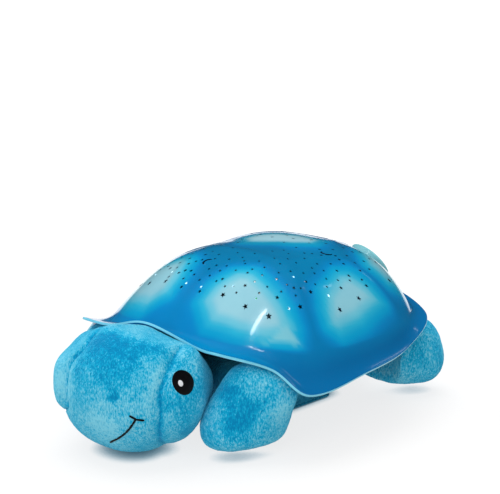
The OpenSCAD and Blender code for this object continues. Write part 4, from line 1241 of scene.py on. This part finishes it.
def stitchLine(surface, points, name, sinks):
    # back stitches laid end to end along a line on the surface
    line = []
    for p in roundPath([Vector(q) * mm for q in points], 24):
        out = (p - stitch["core"]).normalized()
        hit = surface.ray_cast(p + out * stitch["start"], -out)[0] or surface.find_nearest(p)[0]
        line.append((hit, out))
    walked = [0]
    for (a, x), (b, y) in zip(line, line[1:]):
        walked.append(walked[-1] + (b - a).length)
    count = max(1, round(walked[-1] / stitch["stitchLength"]))
    span = walked[-1] / count

    def at(distance):
        for i in range(1, len(line)):
            if walked[i] >= distance or i == len(line) - 1:
                s = (distance - walked[i - 1]) / max(tiny * mm, walked[i] - walked[i - 1])
                return line[i - 1][0].lerp(line[i][0], s), line[i][1]
    pieces = []
    for k in range(count):
        (a, out), (b, outB) = at(k * span), at((k + 1) * span)
        pieces.append(oneStitch(a, b, (out + outB) / 2, hidden((a + b) / 2) if sinks else 0))
    joined = joinPieces(pieces, name)
    freeze(joined)
    dress(joined, blackThread)
    shade(joined)
    return joined


def makeFace():
    surface = surfaceOf(plushHead)
    for side, name, node in ((1, "leftEye", "left_eye"), (-1, "rightEye", "right_eye")):
        eyePlace, top, shinePlace = (Vector((x * side, y, z)) * mm for x, y, z in
                                     (stitch["eye"], stitch["eyeTop"], stitch["shine"]))
        up = top - eyePlace
        eye = patchOn(surface, eyePlace, up, stitch["eyeSize"], stitch["eyeRise"], stitch["eyeSink"], name,
                      blackThread)
        handIn(eye, "root", "black_thread", node)
        shine = patchOn(surfaceOf(eye), shinePlace, up, stitch["shineSize"], stitch["shineRise"],
                        stitch["shineSink"], name + "Shine", whiteThread)
        handIn(shine, "root", "black_thread")
    for name, points in stitchLines.items():
        handIn(stitchLine(surface, points, name, name == "mouthStitch"), "root", "black_thread")


makeFace()
print("face made")


def splitPlace(tree, place, axis):
    return addNode(tree, "ShaderNodeSeparateXYZ", {"Vector": place}).outputs[axis]


def cellMaterial(name, first, last, bands):
    # a dry cell: tinned ends, a dark jacket and one coppery band, in bands along Y, in mm
    tints = {"tin": colour(196, 198, 202), "jacket": colour(30, 32, 40), "copper": colour(190, 120, 66)}
    material, tree = newMaterial(name, {"Metallic": 0.7})
    place = objectPlace(tree)
    share = addNode(tree, "ShaderNodeMapRange",
                    {"Value": splitPlace(tree, place, "Y"), "From Min": first * mm,
                     "From Max": last * mm}).outputs["Result"]
    stops = [((at - first) / (last - first), tints[tint]) for at, tint in bands]
    scuffs = noiseTexture(tree, place, 240, 4, 0.6)
    finishMaterial(tree, ramp(tree, share, stops, "CONSTANT"), (scuffs, 0.25, 0.2), scuffs, 0.00003)
    return material


def boardMaterial():
    # green solder mask with a faint weave and darker tracks under it
    material, tree = newMaterial("boardGreen")
    place = objectPlace(tree)
    tracks = addNode(tree, "ShaderNodeTexBrick", {"Vector": place, "Scale": 260, "Mortar Size": 0.06,
                                                  "Color1": colour(18, 96, 58), "Color2": colour(14, 84, 50),
                                                  "Mortar": colour(34, 128, 78)}).outputs["Color"]
    weave = noiseTexture(tree, place, 900, 2)
    finishMaterial(tree, tracks, (weave, 0.15, 0.28), weave, 0.00003)
    return material


def leadMaterial():
    # a black and a red wire, one on each side of the middle
    material, tree = newMaterial("leadInsulation")
    place = objectPlace(tree)
    side = sums(tree, "GREATER_THAN", splitPlace(tree, place, "X"), 0.0)
    dust = noiseTexture(tree, place, 700, 2)
    finishMaterial(tree, mixColour(tree, side, colour(24, 24, 28), colour(176, 22, 26)),
                   (dust, 0.2, 0.35), dust, 0.00004)
    return material


def lensMaterial(name, tint):
    # tinted clear resin over the lit chip
    material, tree = newMaterial(name, {"Transmission Weight": 0.55, "Emission Strength": 0.35})
    cloud = noiseTexture(tree, objectPlace(tree), 500, 2)
    tinted = ramp(tree, cloud, [(0.3, shaded(tint, 0.7)), (0.7, tint)])
    feed(tree, "Emission Color", tinted)
    finishMaterial(tree, tinted, (cloud, 0.1, 0.06), cloud, 0.00002)
    return material


def tapeMaterial(name, tint, scale, depth):
    # hook or loop tape: a fine field of hooks, or a tangle of loops
    material, tree = newMaterial(name)
    cells = addNode(tree, "ShaderNodeTexVoronoi",
                    {"Vector": objectPlace(tree), "Scale": scale}).outputs["Distance"]
    finishMaterial(tree, ramp(tree, cells, [(0.1, shaded(tint, 1.5, 0.02)), (0.6, tint)]),
                   (cells, 0.2, 0.7), cells, depth)
    return material


fittings = {"flatAngle": 0.5, "edgeAngle": 35, "smoothAngle": 40}


def bevelled(node, name, body, slot, material, width):
    piece = copyPiece(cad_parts[node], name, merged=True)
    editMesh(piece, (bpy.ops.mesh.dissolve_limited, {"angle_limit": math.radians(fittings["flatAngle"])}))
    applyModifier(piece, "BEVEL", width=width * mm, segments=2, limit_method="ANGLE",
                  angle_limit=math.radians(fittings["edgeAngle"]), use_clamp_overlap=True)
    shade(piece, fittings["smoothAngle"])
    dress(piece, material)
    handIn(piece, body, slot, node)


# name: tint, roughness, grain, depth of the grain
plastics = {
    "trayPlastic": ((38, 44, 52), 0.5, 900, 0.00004), "coverPlastic": ((118, 182, 190), 0.25, 1200, 0.00001),
    "powerButtonPlastic": ((238, 242, 244), 0.3, 1500, 0.00002),
    "blueButtonPlastic": ((40, 120, 220), 0.3, 1500, 0.00002),
    "greenButtonPlastic": ((70, 178, 84), 0.3, 1500, 0.00002),
    "amberButtonPlastic": ((240, 160, 44), 0.3, 1500, 0.00002),
    "chipBlack": ((22, 23, 26), 0.55, 2200, 0.00003), "capacitorSleeve": ((30, 38, 66), 0.35, 1800, 0.00002),
    "holderWhite": ((226, 228, 228), 0.45, 1400, 0.00002), "switchBlack": ((30, 30, 34), 0.4, 1400, 0.00002),
}
plastics = {name: plasticMaterial(name, colour(*tint), *look) for name, (tint, *look) in plastics.items()}
screwSteel = metalMaterial("screwSteel", colour(196, 199, 204), 0.3)
# the fittings with rounded edges: node, piece, body, slot, material, width of the edge in mm
rounded = [
    ("module_tray", "moduleTray", "root", "tray_plastic", plastics["trayPlastic"], 0.35),
    ("battery_door", "batteryDoor", "door", "tray_plastic", plastics["trayPlastic"], 0.25),
    ("control_cover", "controlCover", "root", "cover_plastic", plastics["coverPlastic"], 0.3),
    ("button_power", "powerButton", "power_button", "button_white", plastics["powerButtonPlastic"], 0.25),
    ("button_blue", "blueButton", "blue_button", "button_blue", plastics["blueButtonPlastic"], 0.25),
    ("button_green", "greenButton", "green_button", "button_green", plastics["greenButtonPlastic"], 0.25),
    ("button_amber", "amberButton", "amber_button", "button_amber", plastics["amberButtonPlastic"], 0.25),
    ("door_screw", "doorScrew", "captive_screw", "screw_steel", screwSteel, 0.12),
    ("shell_screws", "shellScrews", "root", "screw_steel", screwSteel, 0.12),
]
for row in rounded:
    bevelled(*row)

# the pieces that stay as the CAD has them take only their material
cellUp = (6, 50.5, [(6, "tin"), (7.2, "jacket"), (39.5, "copper"), (48.9, "tin"), (50.5, "tin")])
cellDown = (-0.5, 44, [(-0.5, "tin"), (1.1, "copper"), (10.5, "jacket"), (42.8, "tin"), (44, "tin")])
plain = [
    (("board_screws", "button_board_screws"), screwSteel),
    (("main_board", "button_board"), boardMaterial()),
    (("battery_leads", "button_lead"), leadMaterial()),
    (("hook_pads", "flap_hook_strip"), tapeMaterial("hookTape", colour(12, 60, 84), 900, 0.0005)),
    (("loop_pads", "flap_loop_strip"), tapeMaterial("loopTape", colour(16, 92, 126), 500, 0.0006)),
    (("battery_springs",), metalMaterial("springWire", colour(206, 208, 210), 0.22)),
    (("battery_plates",), metalMaterial("platedContact", colour(214, 208, 188), 0.25)),
    (("timer_chip",), plastics["chipBlack"]), (("capacitor",), plastics["capacitorSleeve"]),
    (("led_holder",), plastics["holderWhite"]), (("button_switches",), plastics["switchBlack"]),
    (("led_blue",), lensMaterial("blueLens", colour(70, 120, 255))),
    (("led_green",), lensMaterial("greenLens", colour(80, 230, 110))),
    (("led_amber",), lensMaterial("amberLens", colour(255, 170, 50))),
    (("battery_1", "battery_3"), cellMaterial("cellUp", *cellUp)),
    (("battery_2",), cellMaterial("cellDown", *cellDown)),
]
for nodes, material in plain:
    for node in nodes:
        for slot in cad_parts[node].material_slots:
            slot.material = material
print("fittings made")
